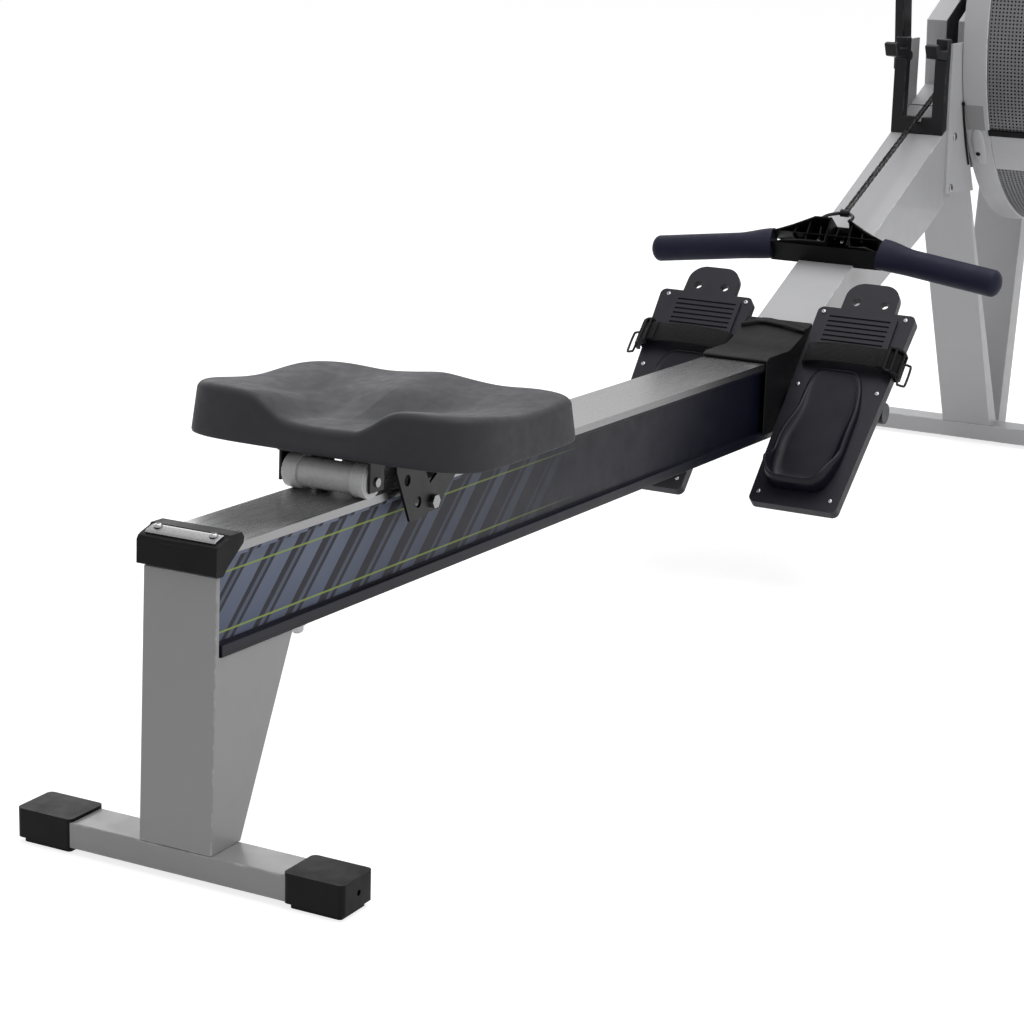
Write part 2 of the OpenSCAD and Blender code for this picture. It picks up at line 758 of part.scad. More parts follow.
// A thin cable runs down the right cheek just outside the cage
module sensor_cable() {
  color([0.04, 0.04, 0.05]) frontwise() {
    for (i = [0 : len(cable) - 2]) hull() {
      translate(cable[i]) sphere(r = cable_r, $fn = 12);
      translate(cable[i + 1]) sphere(r = cable_r, $fn = 12);
    }
    crossbar(cable[0][0], cable[0][2], 2.6, cable_y - 1.8, -cheek_out, $fn = 20);
  }
}

disc_y = cage_y0 - 14;

// A heavy disc on a hub and axle
module flywheel() {
  color([0.16, 0.16, 0.17]) frontwise() {
    crossbar(axle_x, axle_z, axle_r, cage_y1 + 8, chassis_half + 3.2);
    difference() {
      crossbar(axle_x, axle_z, 24, cage_y1 + 24, cage_y0 - 8);
      crossbar(axle_x, axle_z, axle_r - 0.1, cage_y1, cage_y0);
    }
    difference() {
      crossbar(axle_x, axle_z, cage_r - 38, disc_y, disc_y + 5, $fn = 72);
      crossbar(axle_x, axle_z, 23.9, cage_y1, cage_y0);
    }
  }
}

// Flat blades stand on the disc and move the air
module fan_blades() {
  color([0.16, 0.16, 0.17]) frontwise() for (i = [0 : blades - 1])
    translate([axle_x, 0, axle_z]) rotate([0, (i + 0.5) * 360 / blades, 0])
      translate([120, cage_y1 + 26, -1.5]) cube([cage_r - 160, disc_y - cage_y1 - 26, 3]);
}

module sprocket() {
  color([0.45, 0.45, 0.46]) frontwise() difference() {
    union() {
      crossbar(axle_x, axle_z, sprocket_r - 2.8, -chain_half - 0.7, chain_half + 0.7);
      for (i = [0 : 13])
        translate([axle_x, 0, axle_z]) rotate([0, i * 360 / 14 + 12.9, 0])
          translate([sprocket_r - 3.2, -1, -1]) cube([2.6, 2, 2]);
      crossbar(axle_x, axle_z, 17, chain_half + 0.6, chain_half + 13.5);
    }
    crossbar(axle_x, axle_z, axle_r + 0.1, -10, 40);
  }
}

// A lever opens and closes the air inlet on the cage's outer side
module damper_lever() {
  color([0.08, 0.08, 0.09]) frontwise() {
    difference() {
      crossbar(axle_x, axle_z, inlet_r + 13, cage_y1 - 5, cage_y1 - 0.2, $fn = 72);
      crossbar(axle_x, axle_z, inlet_r - 21, cage_y1 - 6, cage_y1 + 1, $fn = 64);
    }
    translate([axle_x, cage_y1 - 5, axle_z]) rotate([0, -150, 0]) {
      translate([inlet_r + 3, 0, -9]) cube([58, 4.8, 18]);
      translate([inlet_r + 45, -16, -9]) cube([14, 17, 18]);
    }
  }
}

// Half the seat's depth and width, and its middle along the rail
seat_a = seat_deep / 2;
seat_b = seat_wide / 2;
seat_mid = seat_at + 7;
seat_low = rail_top + roller_d + 6;
roller_xs = [seat_at - 77.3, seat_at + 78];
roller_z = rail_top + roller_d / 2 + clear;
low_roller_x = seat_at + 12;
low_roller_z = rail_top - flange - low_roller_d / 2 - clear;
seat_n = 56;
// How square the seat's outline is
seat_square = 6.2;

// A smooth step from 0 to 1
function soft(t) = t <= 0 ? 0 : t >= 1 ? 1 : t * t * (3 - 2 * t);
// A bell of half width w around m
function bell(t, m, w) = exp(-pow((t - m) / w, 2));

// Height of the seat's crown over its edge; u runs from rear to front and v across
function crown(u, v) = 7 * soft(1 - u / 0.6) * soft(abs(v) / 0.6) - 4 * bell(u, 0.55, 0.3) * abs(v)
  - 11 * bell(abs(v), 0.42, 0.27) * bell(u, 0.42, 0.25)
  - 17 * soft((0.5 - abs(v)) / 0.3) * soft((0.62 - u) / 0.4)
  - 6 * bell(abs(v), 0.38, 0.17) * soft((u - 0.55) / 0.4)
  + 2 * bell(v, 0, 0.14) * soft((u - 0.6) / 0.3);

// Distance from the seat's middle to its outline, drawn in by d, in direction t
function seat_reach(t, d) = pow(pow(abs(cos(t)) / (seat_a - d), seat_square)
  + pow(abs(sin(t)) / (seat_b - d), seat_square), -1 / seat_square);

// Each ring is drawn in by its first value, shrunk by its second and lowered by its third
seat_rings = [[1.5, 1, 0, 0], [0, 1, 0, 1.5], [3.2, 1, 1, -8], [4, 1, 1, -4.6], [5.6, 1, 1, -2],
  [8, 1, 1, -0.5], [11, 1, 1, 0], [10, 0.86, 1, 0], [10, 0.72, 1, 0], [10, 0.57, 1, 0],
  [10, 0.42, 1, 0], [10, 0.26, 1, 0], [10, 0.11, 1, 0]];

// One point of the seat: ring r, direction t, upper rings follow the crown
function seat_point(r, t) = let (
    k = seat_reach(t, r[0]) * r[1],
    x = k * cos(t),
    y = k * sin(t),
    z = r[2] > 0 ? seat_edge + crown((x / seat_a + 1) / 2, y / seat_b) + r[3] : r[3]
  ) [seat_mid + x, y, seat_low + z];

module seat_pad() {
  rings = len(seat_rings);
  points = concat([for (r = seat_rings, i = [0 : seat_n - 1]) seat_point(r, i * 360 / seat_n)],
    [[seat_mid, 0, seat_low + seat_edge + crown(0.5, 0)], [seat_mid, 0, seat_low]]);
  top = rings * seat_n;
  sides = [for (j = [0 : rings - 2], i = [0 : seat_n - 1], h = [0, 1])
    let (a = j * seat_n + i, b = j * seat_n + (i + 1) % seat_n)
    h == 0 ? [a, a + seat_n, b] : [b, a + seat_n, b + seat_n]];
  lid = [for (i = [0 : seat_n - 1])
    [(rings - 1) * seat_n + i, top, (rings - 1) * seat_n + (i + 1) % seat_n]];
  under = [for (i = [0 : seat_n - 1]) [i, (i + 1) % seat_n, top + 1]];
  color([0.16, 0.16, 0.17]) railwise() polyhedron(points = points, faces = concat(sides, lid, under),
    convexity = 6);
}

ear_y = rail_half + 6.6;
ear_thick = 2.4;

// The seat's steel plate holds the upper rollers between its ears
module seat_plate() {
  color([0.12, 0.12, 0.13]) railwise() difference() {
    union() {
      block([seat_at - 91, -ear_y - ear_thick, seat_low - 3], [seat_at + 93, ear_y + ear_thick, seat_low]);
      for (x = roller_xs)
        side_pair([[x - 11, roller_z - 8], [x + 11, roller_z - 8], [x + 11, seat_low - 2.9],
          [x - 11, seat_low - 2.9]], ear_y, ear_y + ear_thick);
    }
    for (x = roller_xs) crossbar(x, roller_z, 4, -80, 80);
  }
}

// A stamped V-shaped bracket reaches down beside the rail and holds a lower roller
module bracket(s) {
  x = seat_at;
  low = low_roller_z;
  color([0.08, 0.08, 0.09]) railwise() mirror([0, s > 0 ? 0 : 1, 0]) difference() {
    union() {
      side([[x - 50, seat_low - 0.1], [x - 50, rail_top + 19], [x - 26, low - 11.4], [x - 4, low - 11.4],
        [x + 2, low - 8.4], [x + 24, low - 8.4], [x + 32, low + 3.6], [x + 56, rail_top + 5],
        [x + 60, seat_low - 0.1]], ear_y + ear_thick + 0.1, ear_y + 5);
      side([[x - 50, seat_low - 3], [x - 50, seat_low], [x + 60, seat_low], [x + 60, seat_low - 3]],
        ear_y + ear_thick, ear_y + 16);
    }
    crossbar(low_roller_x, low, 3, 10, 80);
    crossbar(x - 32, rail_top + 9, 5, 10, 80);
    crossbar(x - 13, low + 3.5, 5, 10, 80);
    side([[x - 8, rail_top + 21], [x + 6, rail_top], [x + 32, rail_top + 15], [x + 32, rail_top + 23]],
      10, 80);
  }
}

module bracket_left() {
  bracket(1);
}

module bracket_right() {
  bracket(-1);
}

module roller_axles() {
  color([0.55, 0.55, 0.56]) railwise() {
    for (x = roller_xs) crossbar(x, roller_z, 4, -ear_y - 4, ear_y + 4);
    for (s = [-1, 1]) mirror([0, s > 0 ? 0 : 1, 0]) {
      crossbar(low_roller_x, low_roller_z, 3, rail_half - groove + 1, ear_y + 5);
      crossbar(low_roller_x, low_roller_z, 6.5, ear_y + 5, ear_y + 9, $fn = 6);
    }
  }
}

// A wide white roller with a disc at each end runs on the rail's bright surface
module top_roller(x) {
  color([0.88, 0.88, 0.87]) railwise() difference() {
    union() {
      crossbar(x, roller_z, roller_d / 2 - 2, 1 - ear_y, ear_y - 1);
      for (s = [-1, 1]) mirror([0, s > 0 ? 0 : 1, 0])
        crossbar(x, roller_z, roller_d / 2, rail_half - 10, ear_y - 2.6);
    }
    crossbar(x, roller_z, 4 + clear, -80, 80);
  }
}

module top_roller_rear() {
  top_roller(roller_xs[0]);
}

module top_roller_front() {
  top_roller(roller_xs[1]);
}

module low_roller(s) {
  color([0.86, 0.86, 0.85]) railwise() mirror([0, s > 0 ? 0 : 1, 0]) difference() {
    crossbar(low_roller_x, low_roller_z, low_roller_d / 2, rail_half - groove + 0.6, ear_y - 0.6);
    crossbar(low_roller_x, low_roller_z, 3 + clear, 10, 80);
  }
}

module low_roller_left() {
  low_roller(1);
}

module low_roller_right() {
  low_roller(-1);
}

monitor_lean = 15;
monitor_x = tube_end - 103;
tilt_axis = [monitor_x + 34 * cos(monitor_lean), monitor_z + ground - 34 * sin(monitor_lean)];
arm_in = cheek_out + 0.4;
arm_thick = 11.8;

// The arm turns on the left cheek and holds the monitor's yoke at its top
module monitor_arm() {
  t = tilt_axis;
  color([0.10, 0.10, 0.11]) frontwise() difference() {
    union() {
      side([at_end(-29, 46.36), at_end(-2, 46.36), at_end(0, 78.36), [t[0] + 14, t[1] + 4],
        [t[0] + 8, t[1] + 12], [t[0] - 8, t[1] + 12], [t[0] - 14, t[1] + 4], at_end(-30, 74.36)],
        arm_in, arm_in + arm_thick);
      crossbar(arm_base[0], arm_base[1], 6, tube_half - 3.3, arm_in + 0.1);
    }
    crossbar(t[0], t[1], 6.1, arm_in - 5, arm_in + 20);
    side([at_end(-20, 118.36), at_end(-16, 128.36), [t[0] + 15, t[1] - 36], [t[0] + 11, t[1] - 46]],
      arm_in + arm_thick / 2, arm_in + 20);
  }
}

// Monitor coordinates: X out of its back, Z up its face
module monitorwise() {
  frontwise() translate([monitor_x, 0, monitor_z + ground]) rotate([0, monitor_lean, 0]) children();
}

module monitor_yoke() {
  color([0.12, 0.12, 0.13]) {
    monitorwise() block([18, -22, -14], [44, arm_in - 0.6, 14]);
    frontwise() crossbar(tilt_axis[0], tilt_axis[1], 6, arm_in - 0.7, arm_in + arm_thick + 4);
  }
}

monitor_half = monitor_wide / 2;
monitor_low = -monitor_tall / 2;
key_ys = [-monitor_wide / 4, 0, monitor_wide / 4];
key_z = monitor_low + 16;

module monitor_case() {
  color([0.15, 0.15, 0.16]) monitorwise() difference() {
    translate([18, 0, 0]) rotate([0, -90, 0]) linear_extrude(height = 36)
      translate([monitor_low, -monitor_half]) soft_rect(monitor_tall, monitor_wide, 16);
    block([-20, -monitor_half + 20, monitor_low + 40], [-15.5, monitor_half - 20, -monitor_low - 22]);
    for (y = key_ys) block([-20, y - 15.2, key_z - 7.2], [-12, y + 15.2, key_z + 7.2]);
  }
}

module monitor_screen() {
  color([0.55, 0.60, 0.55]) monitorwise()
    block([-17.5, -monitor_half + 20, monitor_low + 40], [-15.5, monitor_half - 20, -monitor_low - 22]);
}

module key(i) {
  color([0.35, 0.36, 0.38]) monitorwise()
    block([-19.5, key_ys[i] - 15, key_z - 7], [-14.2, key_ys[i] + 15, key_z + 7]);
}

module key_left() {
  key(2);
}

module key_middle() {
  key(1);
}

module key_right() {
  key(0);
}

rear_foot_bar();
rear_foot_caps();
rear_leg();
rail_beam();
rail_track();
rail_end_cap();
rail_trim();
front_cover();
main_tube();
front_leg_rear();
front_leg_front();
leg_screws();
front_foot_bar();
front_foot_caps();
caster_forks();
caster_wheel_left();
caster_wheel_right();
footrest_bracket();
footplate_left();
footplate_right();
footplate_screws();
heel_cup_left();
heel_cup_right();
foot_strap_left();
foot_strap_right();
strap_buckle_left();
strap_buckle_right();
handle_hook();
chassis();
cage_rim_inner();
cage_rim_outer();
cage_screen();
cage_band();
sensor_cable();
flywheel();
fan_blades();
sprocket();
damper_lever();
chain_upper();
chain_middle();
chain_lower();
chain_swivel();
handle_core();
handle_grips();
seat_pad();
seat_plate();
bracket_left();
bracket_right();
roller_axles();
top_roller_rear();
top_roller_front();
low_roller_left();
low_roller_right();
monitor_arm();
monitor_yoke();
monitor_case();
monitor_screen();
key_left();
key_middle();
key_right();
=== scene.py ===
# %% [markdown]
# # An air rowing machine
# A rowing machine for a training room: a long rail with a sliding seat, two footplates, a handle on a
# chain and an air flywheel in a round cage. The imported CAD part is the fixed frame of this scene. All is
# in metres, the floor lies at Z = 0 and the flywheel is towards +X. The first cell loads that frame.

# %% Load the frame
import json
import math

import bmesh
import bpy
import numpy as np
from mathutils import Matrix, Vector

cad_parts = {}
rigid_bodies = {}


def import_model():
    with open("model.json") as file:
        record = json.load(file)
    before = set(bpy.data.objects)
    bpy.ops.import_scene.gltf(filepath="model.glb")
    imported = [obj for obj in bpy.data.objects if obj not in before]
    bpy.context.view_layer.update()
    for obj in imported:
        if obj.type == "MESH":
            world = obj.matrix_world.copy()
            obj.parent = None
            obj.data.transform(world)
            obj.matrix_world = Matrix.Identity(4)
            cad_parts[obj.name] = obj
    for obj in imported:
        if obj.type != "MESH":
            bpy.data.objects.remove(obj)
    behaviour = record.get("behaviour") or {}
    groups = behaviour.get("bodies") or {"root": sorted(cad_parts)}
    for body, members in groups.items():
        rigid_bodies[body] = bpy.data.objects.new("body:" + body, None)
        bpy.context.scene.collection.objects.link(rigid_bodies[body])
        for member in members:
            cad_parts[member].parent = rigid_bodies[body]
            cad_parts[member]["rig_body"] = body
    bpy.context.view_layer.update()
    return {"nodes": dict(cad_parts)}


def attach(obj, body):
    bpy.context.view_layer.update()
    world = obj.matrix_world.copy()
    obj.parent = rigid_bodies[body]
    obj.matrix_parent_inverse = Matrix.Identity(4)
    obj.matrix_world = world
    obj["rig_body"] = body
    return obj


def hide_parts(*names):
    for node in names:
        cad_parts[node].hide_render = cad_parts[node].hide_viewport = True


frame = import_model()
nodes = frame["nodes"]

# %% [markdown]
# ## The camera
# A product picture is taken with a long lens from some way off, so that the machine keeps its shape.
# The three directions below say which way the picture's right, down and depth run in the scene. They
# could also be found with a Track To constraint, but plain numbers keep the small roll of the picture.

# %% Camera
CAMERA_AT = Vector((-2.6650, -1.1409, 0.8073))
PICTURE_RIGHT = Vector((0.47966, -0.87706, 0.02618))
PICTURE_DOWN = Vector((-0.20792, -0.14259, -0.96770))
PICTURE_DEPTH = Vector((0.85246, 0.45872, -0.25076))
LENS_MM = 92.14

camera = bpy.data.objects.new("camera", bpy.data.cameras.new("camera"))
bpy.context.scene.collection.objects.link(camera)
turn = Matrix((PICTURE_RIGHT, -PICTURE_DOWN, -PICTURE_DEPTH)).transposed().to_4x4()
camera.matrix_world = Matrix.Translation(CAMERA_AT) @ turn
camera.data.lens = LENS_MM
camera.data.sensor_width = 36.0
camera.data.clip_end = 100.0
bpy.context.scene.camera = camera
bpy.context.scene.view_settings.view_transform = "Standard"
print("camera at", list(CAMERA_AT), "lens", LENS_MM)

# %% [markdown]
# ## Small helpers for node trees
# Materials and Geometry Nodes are both graphs. Adding each node by hand takes many lines, so one helper
# makes a node, sets its values and joins the sockets that it is given. A second one turns a screen
# colour from 0 to 255 into the linear colour that a shader works in.

# %% Node helpers
def plug(tree, node, inputs):
    """Sets a node's inputs; each is a value or another node's output socket."""
    for key, value in inputs.items():
        if isinstance(value, bpy.types.NodeSocket):
            tree.links.new(value, node.inputs[key])
        else:
            node.inputs[key].default_value = value


def grow(tree, kind, inputs=None, **settings):
    """Adds a node; settings are its own properties, such as its operation."""
    node = tree.nodes.new(kind)
    for key, value in settings.items():
        setattr(node, key, value)
    plug(tree, node, inputs or {})
    return node


def linear(channel):
    channel = channel / 255
    return channel / 12.92 if channel <= 0.04045 else ((channel + 0.055) / 1.055) ** 2.4


def shade(red, green, blue):
    return (linear(red), linear(green), linear(blue), 1.0)


def maths(tree, operation, first, second=0.5, third=0.5):
    values = {0: first, 1: second, 2: third}
    return grow(tree, "ShaderNodeMath", values, operation=operation).outputs[0]


def times(tree, product, *factors):
    """The product of two or more values."""
    for factor in factors:
        product = maths(tree, "MULTIPLY", product, factor)
    return product


def axes_of(tree, place):
    return grow(tree, "ShaderNodeSeparateXYZ", {0: place}).outputs


def mixed(tree, factor, first, second):
    """A colour between two others."""
    return grow(tree, "ShaderNodeMix", {0: factor, 6: first, 7: second}, data_type="RGBA").outputs[2]


def scaled(tree, colour, factor):
    """A colour made darker or lighter by a factor."""
    values = {0: colour[:3] if isinstance(colour, tuple) else colour, "Scale": factor}
    return grow(tree, "ShaderNodeVectorMath", values, operation="SCALE").outputs[0]


def ranged(tree, value, low, high, to_low, to_high):
    """A value moved from one range to another and held within it."""
    names = {"Value": value, "From Min": low, "From Max": high, "To Min": to_low, "To Max": to_high}
    return grow(tree, "ShaderNodeMapRange", names).outputs[0]


print("linear middle grey", round(linear(128), 3))

# %% [markdown]
# ## Floor, backdrop and light
# In a studio the machine stands on white paper that is lit until it vanishes. The same could be had
# with a bent backdrop and very strong lamps, but these would burn out the pale paint too. Here the
# lamps stay plain, and the floor and the world are white only for the camera and for reflections.

# %% Floor and world
FLOOR_REACH = 30.0
PAPER_GLOW = 0.78
PAPER_ALBEDO = 0.42
BOUNCE_ALBEDO = 0.80
SKY_LEVEL = 0.50


def direct_rays(tree):
    """One for rays from the camera, a reflection or glass, and zero for the light on matt faces."""
    seen = grow(tree, "ShaderNodeLightPath").outputs
    direct = maths(tree, "MAXIMUM", seen["Is Camera Ray"], seen["Is Glossy Ray"])
    return maths(tree, "MAXIMUM", direct, seen["Is Transmission Ray"])


world = bpy.data.worlds.new("studio")
bpy.context.scene.world = world
world.use_nodes = True
sky = world.node_tree
level = ranged(sky, direct_rays(sky), 0.0, 1.0, SKY_LEVEL, 1.0)
plug(sky, sky.nodes["Background"], {"Strength": level, "Color": (1, 1, 1, 1)})

bpy.ops.mesh.primitive_plane_add(size=FLOOR_REACH, location=(0, 0, -0.0002))
floor = bpy.context.object
floor.name = "floor"
paper = bpy.data.materials.new("white_paper")
paper.use_nodes = True
tree = paper.node_tree
tree.nodes.clear()
direct = direct_rays(tree)
glow = grow(tree, "ShaderNodeEmission", {"Strength": times(tree, direct, PAPER_GLOW)})
tint = mixed(tree, direct, (*[BOUNCE_ALBEDO] * 3, 1), (*[PAPER_ALBEDO] * 3, 1))
matt = grow(tree, "ShaderNodeBsdfDiffuse", {"Color": tint})
both = grow(tree, "ShaderNodeAddShader", {0: glow.outputs[0], 1: matt.outputs[0]})
grow(tree, "ShaderNodeOutputMaterial", {"Surface": both.outputs[0]})
floor.data.materials.append(paper)
print("sky level on matt surfaces", SKY_LEVEL)


# %% Lamps
def softbox(name, at, towards, size, watts):
    """A large square lamp that faces a point."""
    lamp = bpy.data.lights.new(name, "AREA")
    lamp.shape = "RECTANGLE"
    lamp.size, lamp.size_y = size
    lamp.energy = watts
    obj = bpy.data.objects.new(name, lamp)
    bpy.context.scene.collection.objects.link(obj)
    obj.location = at
    obj.rotation_euler = (Vector(towards) - Vector(at)).to_track_quat("-Z", "Y").to_euler()


SOFTBOXES = {
    "top_light": ((0.2, -0.3, 3.6), (0.0, 0.0, 0.3), (4.5, 3.0), 118.0),
    "right_light": ((-0.6, -3.8, 1.5), (0.0, 0.0, 0.3), (3.0, 2.0), 19.0),
    "back_light": ((2.5, 3.2, 2.0), (0.3, 0.0, 0.4), (2.5, 2.0), 30.0),
}
for name, values in SOFTBOXES.items():
    softbox(name, *values)
print("lamps", [lamp.name for lamp in bpy.data.lights])

# %% [markdown]
# ## Drawing frames
# The CAD drawing works in millimetres and in a few tilted frames: along the rail, on the slope of the
# footplates, along the handle and along the chain. One matrix for each frame lets a piece be written in
# the plain numbers of its own drawing and land on the right spot.

# %% Drawing frames
MILLIMETRE = 0.001
MIDDLE_X = 1089.4
PLATE_INNER = 41.0


def drawing(x, z, tilt):
    """From a drawing whose origin lies at x and z over the floor, tilted up by tilt degrees."""
    turned = Matrix.Rotation(math.radians(-tilt), 4, "Y")
    return Matrix.Scale(MILLIMETRE, 4) @ Matrix.Translation((x - MIDDLE_X, 0, z)) @ turned


FRONT = drawing(0, 0, 0)
RAIL = drawing(0, 0, -1.478)
HANDLE = drawing(1312, 339.978, 55)
CHAIN = drawing(1365, 376.998, 22.3628)
SLOPE = drawing(1139.082, 190.972, 46.4) @ Matrix.Translation((-150, 0, 28.5))
PLATE = {
    "left": SLOPE @ Matrix.Translation((0, PLATE_INNER, 0)),
    "right": SLOPE @ Matrix.Diagonal((1, -1, 1, 1)) @ Matrix.Translation((0, PLATE_INNER, 0)),
}
SIDES = {"left": 1, "right": -1}
print("left plate's top inner corner", [round(c, 3) for c in PLATE["left"] @ Vector((264, 0, 0))])

# %% [markdown]
# ## Making and finishing meshes
# Every piece ends as a plain mesh whose object sits at the origin, and rides on one CAD body. Real sheet
# and moulded parts have no perfectly sharp edge, and that small radius is what catches the light. So
# most CAD pieces are copied, merged and given a narrow bevel. The bevel's faces keep a mark named edge,
# which the paints use to show where hands and shoes have rubbed.

# %% Mesh helpers
SHARP = math.radians(28)
FLAT = math.radians(0.5)
WELD = 2e-6
OUTER_EDGES_ONLY = ("monitor_arm",)


def eased(t):
    t = min(max(t, 0.0), 1.0)
    return t * t * (3 - 2 * t)


def weigh_normals(obj):
    """Keeps wide faces flat and lets only the narrow bevels look round."""
    for poly in obj.data.polygons:
        poly.use_smooth = True
    modifier = obj.modifiers.new("weigh", "WEIGHTED_NORMAL")
    modifier.mode = "FACE_AREA"
    modifier.keep_sharp = True
    return make_plain(obj)


def make_plain(obj):
    """Bakes an object's modifiers into one plain mesh."""
    graph = bpy.context.evaluated_depsgraph_get()
    mesh = bpy.data.meshes.new_from_object(obj.evaluated_get(graph), preserve_all_data_layers=True,
                                           depsgraph=graph)
    old = obj.data
    obj.modifiers.clear()
    obj.data = mesh
    mesh.name = obj.name
    bpy.data.meshes.remove(old)
    return obj


def shown(name, mesh):
    obj = bpy.data.objects.new(name, mesh)
    bpy.context.scene.collection.objects.link(obj)
    return obj


def hold(name, bm, body, slot, place=None, crisp=None, node=None):
    """Turns a bmesh into a piece on a body; crisp is its sharp angle, node the CAD node it replaces."""
    if place is not None:
        bm.transform(place)
    bmesh.ops.recalc_face_normals(bm, faces=bm.faces)
    mesh = bpy.data.meshes.new(name)
    bm.to_mesh(mesh)
    bm.free()
    mesh.materials.append(FINISH[slot])
    for poly in mesh.polygons:
        poly.use_smooth = True
    if crisp is not None:
        mesh.set_sharp_from_angle(angle=crisp)
    obj = shown(name, mesh)
    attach(obj, body)
    if node is not None:
        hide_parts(node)
    return obj


def lofted(name, points, body, slot, place, crisp=None, node=None):
    """A closed skin through rings of points."""
    bm = bmesh.new()
    close_rings(bm, [[bm.verts.new(point) for point in ring] for ring in points])
    return hold(name, bm, body, slot, place, crisp, node)


def clean_copy(node):
    """A bmesh of a CAD node without doubled points."""
    bm = bmesh.new()
    bm.from_mesh(nodes[node].data)
    bmesh.ops.remove_doubles(bm, verts=bm.verts, dist=WELD)
    return bm


def flat_faces(bm):
    bmesh.ops.dissolve_limit(bm, angle_limit=FLAT, verts=bm.verts, edges=bm.edges)


def rounded_edges(bm, width, outer_only=False):
    """Bevels the sharp edges and gives the bevel's faces."""
    sharp = [e for e in bm.edges if len(e.link_faces) == 2 and e.calc_face_angle() > SHARP]
    if outer_only:
        sharp = [e for e in sharp if e.is_convex]
    return bmesh.ops.bevel(bm, geom=sharp, offset=width, segments=2, profile=0.5, affect="EDGES",
                           clamp_overlap=True)["faces"]


def close_rings(bm, rings, loop=False, caps=True):
    """Joins rings of vertices with quads; caps the two ends or closes the loop."""
    pairs = list(zip(rings, rings[1:]))
    if loop:
        pairs.append((rings[-1], rings[0]))
    for first, second in pairs:
        count = len(first)
        for step in range(count):
            after = (step + 1) % count
            bm.faces.new((first[step], first[after], second[after], second[step]))
    if caps and not loop:
        bm.faces.new(rings[0])
        bm.faces.new(list(reversed(rings[-1])))


def turns(count):
    """Angles evenly round a full turn."""
    return [2 * math.pi * step / count for step in range(count)]


def fan(bm, ring, hub):
    """Closes a ring with triangles to one point."""
    hub = bm.verts.new(hub)
    for step, vert in enumerate(ring):
        bm.faces.new((vert, ring[(step + 1) % len(ring)], hub))


def soften(node, width_mm):
    """A bevelled copy of a CAD node, which it replaces."""
    bm = clean_copy(node)
    mark = bm.faces.layers.float.new("edge")
    flat_faces(bm)
    for face in rounded_edges(bm, width_mm * MILLIMETRE, node in OUTER_EDGES_ONLY):
        face[mark] = 1.0
    return weigh_normals(hold(node + "_soft", bm, nodes[node]["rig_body"], SLOT_OF[node], node=node))


print("bevel edges sharper than", round(math.degrees(SHARP)), "degrees")

# %% [markdown]
# ## Paints, metals and plastics
# A finish on a real machine is never one colour. Powder paint has a faint orange peel and cloudy tone,
# moulded plastic a fine spark grain, brushed steel long scratches. One recipe with different numbers
# covers the plain finishes: a cloud for the tone, a finer cloud for the gloss, a grain for the bump and
# the edge mark for wear. The pattern reads Object coordinates, so it sticks to the moving parts.

# %% Plain finishes
RUB_SIZE = 60.0
RUB_AMOUNT = 0.55


def start_finish(name):
    material = bpy.data.materials.new(name)
    material.use_nodes = True
    tree = material.node_tree
    place = grow(tree, "ShaderNodeTexCoord").outputs["Object"]
    return material, tree, tree.nodes["Principled BSDF"], place


def noise(tree, place, scale, detail=3.0, rough=0.55):
    values = {"Vector": place, "Scale": scale, "Detail": detail, "Roughness": rough}
    return grow(tree, "ShaderNodeTexNoise", values).outputs[0]


def stretched(tree, place, along, across, up):
    """The same place with its axes scaled, for scratches and streaks."""
    values = {"Vector": place, "Scale": (along, across, up)}
    return grow(tree, "ShaderNodeMapping", values).outputs[0]


def bumped(tree, shader, height, strength, depth):
    values = {"Height": height, "Strength": strength, "Distance": depth}
    plug(tree, shader, {"Normal": grow(tree, "ShaderNodeBump", values).outputs[0]})


def toned(tree, place, colour, mottle, cloud):
    """The finish's colour with a cloudy change of tone."""
    tone = ranged(tree, noise(tree, place, cloud, 4.0), 0.3, 0.7, 1 - mottle, 1 + mottle)
    return scaled(tree, colour, tone)


def worn(tree, place, colour, rubbed):
    """The colour with its bevelled edges rubbed to another one here and there."""
    edge = grow(tree, "ShaderNodeAttribute", attribute_name="edge").outputs["Fac"]
    patches = ranged(tree, noise(tree, place, RUB_SIZE), 0.45, 0.62, 0.0, RUB_AMOUNT)
    return mixed(tree, times(tree, edge, patches), colour, rubbed)


def finish(name, colour, rough, metal=0.0, mottle=0.05, cloud=9.0, swing=0.06, grain=0.25,
           grain_size=900.0, depth=0.00015, rubbed=None, coat=0.0, specular=0.5):
    """A plain finish; its colours are screen values from 0 to 255."""
    material, tree, shader, place = start_finish(name)
    base = toned(tree, place, shade(*colour), mottle, cloud)
    if rubbed is not None:
        base = worn(tree, place, base, shade(*rubbed))
    gloss = ranged(tree, noise(tree, place, cloud * 6), 0.3, 0.7, rough - swing, rough + swing)
    bumped(tree, shader, noise(tree, place, grain_size, 2.0), grain, depth)
    plug(tree, shader, {"Base Color": base, "Roughness": gloss, "Metallic": metal, "Coat Weight": coat,
                        "Specular IOR Level": specular})
    return material


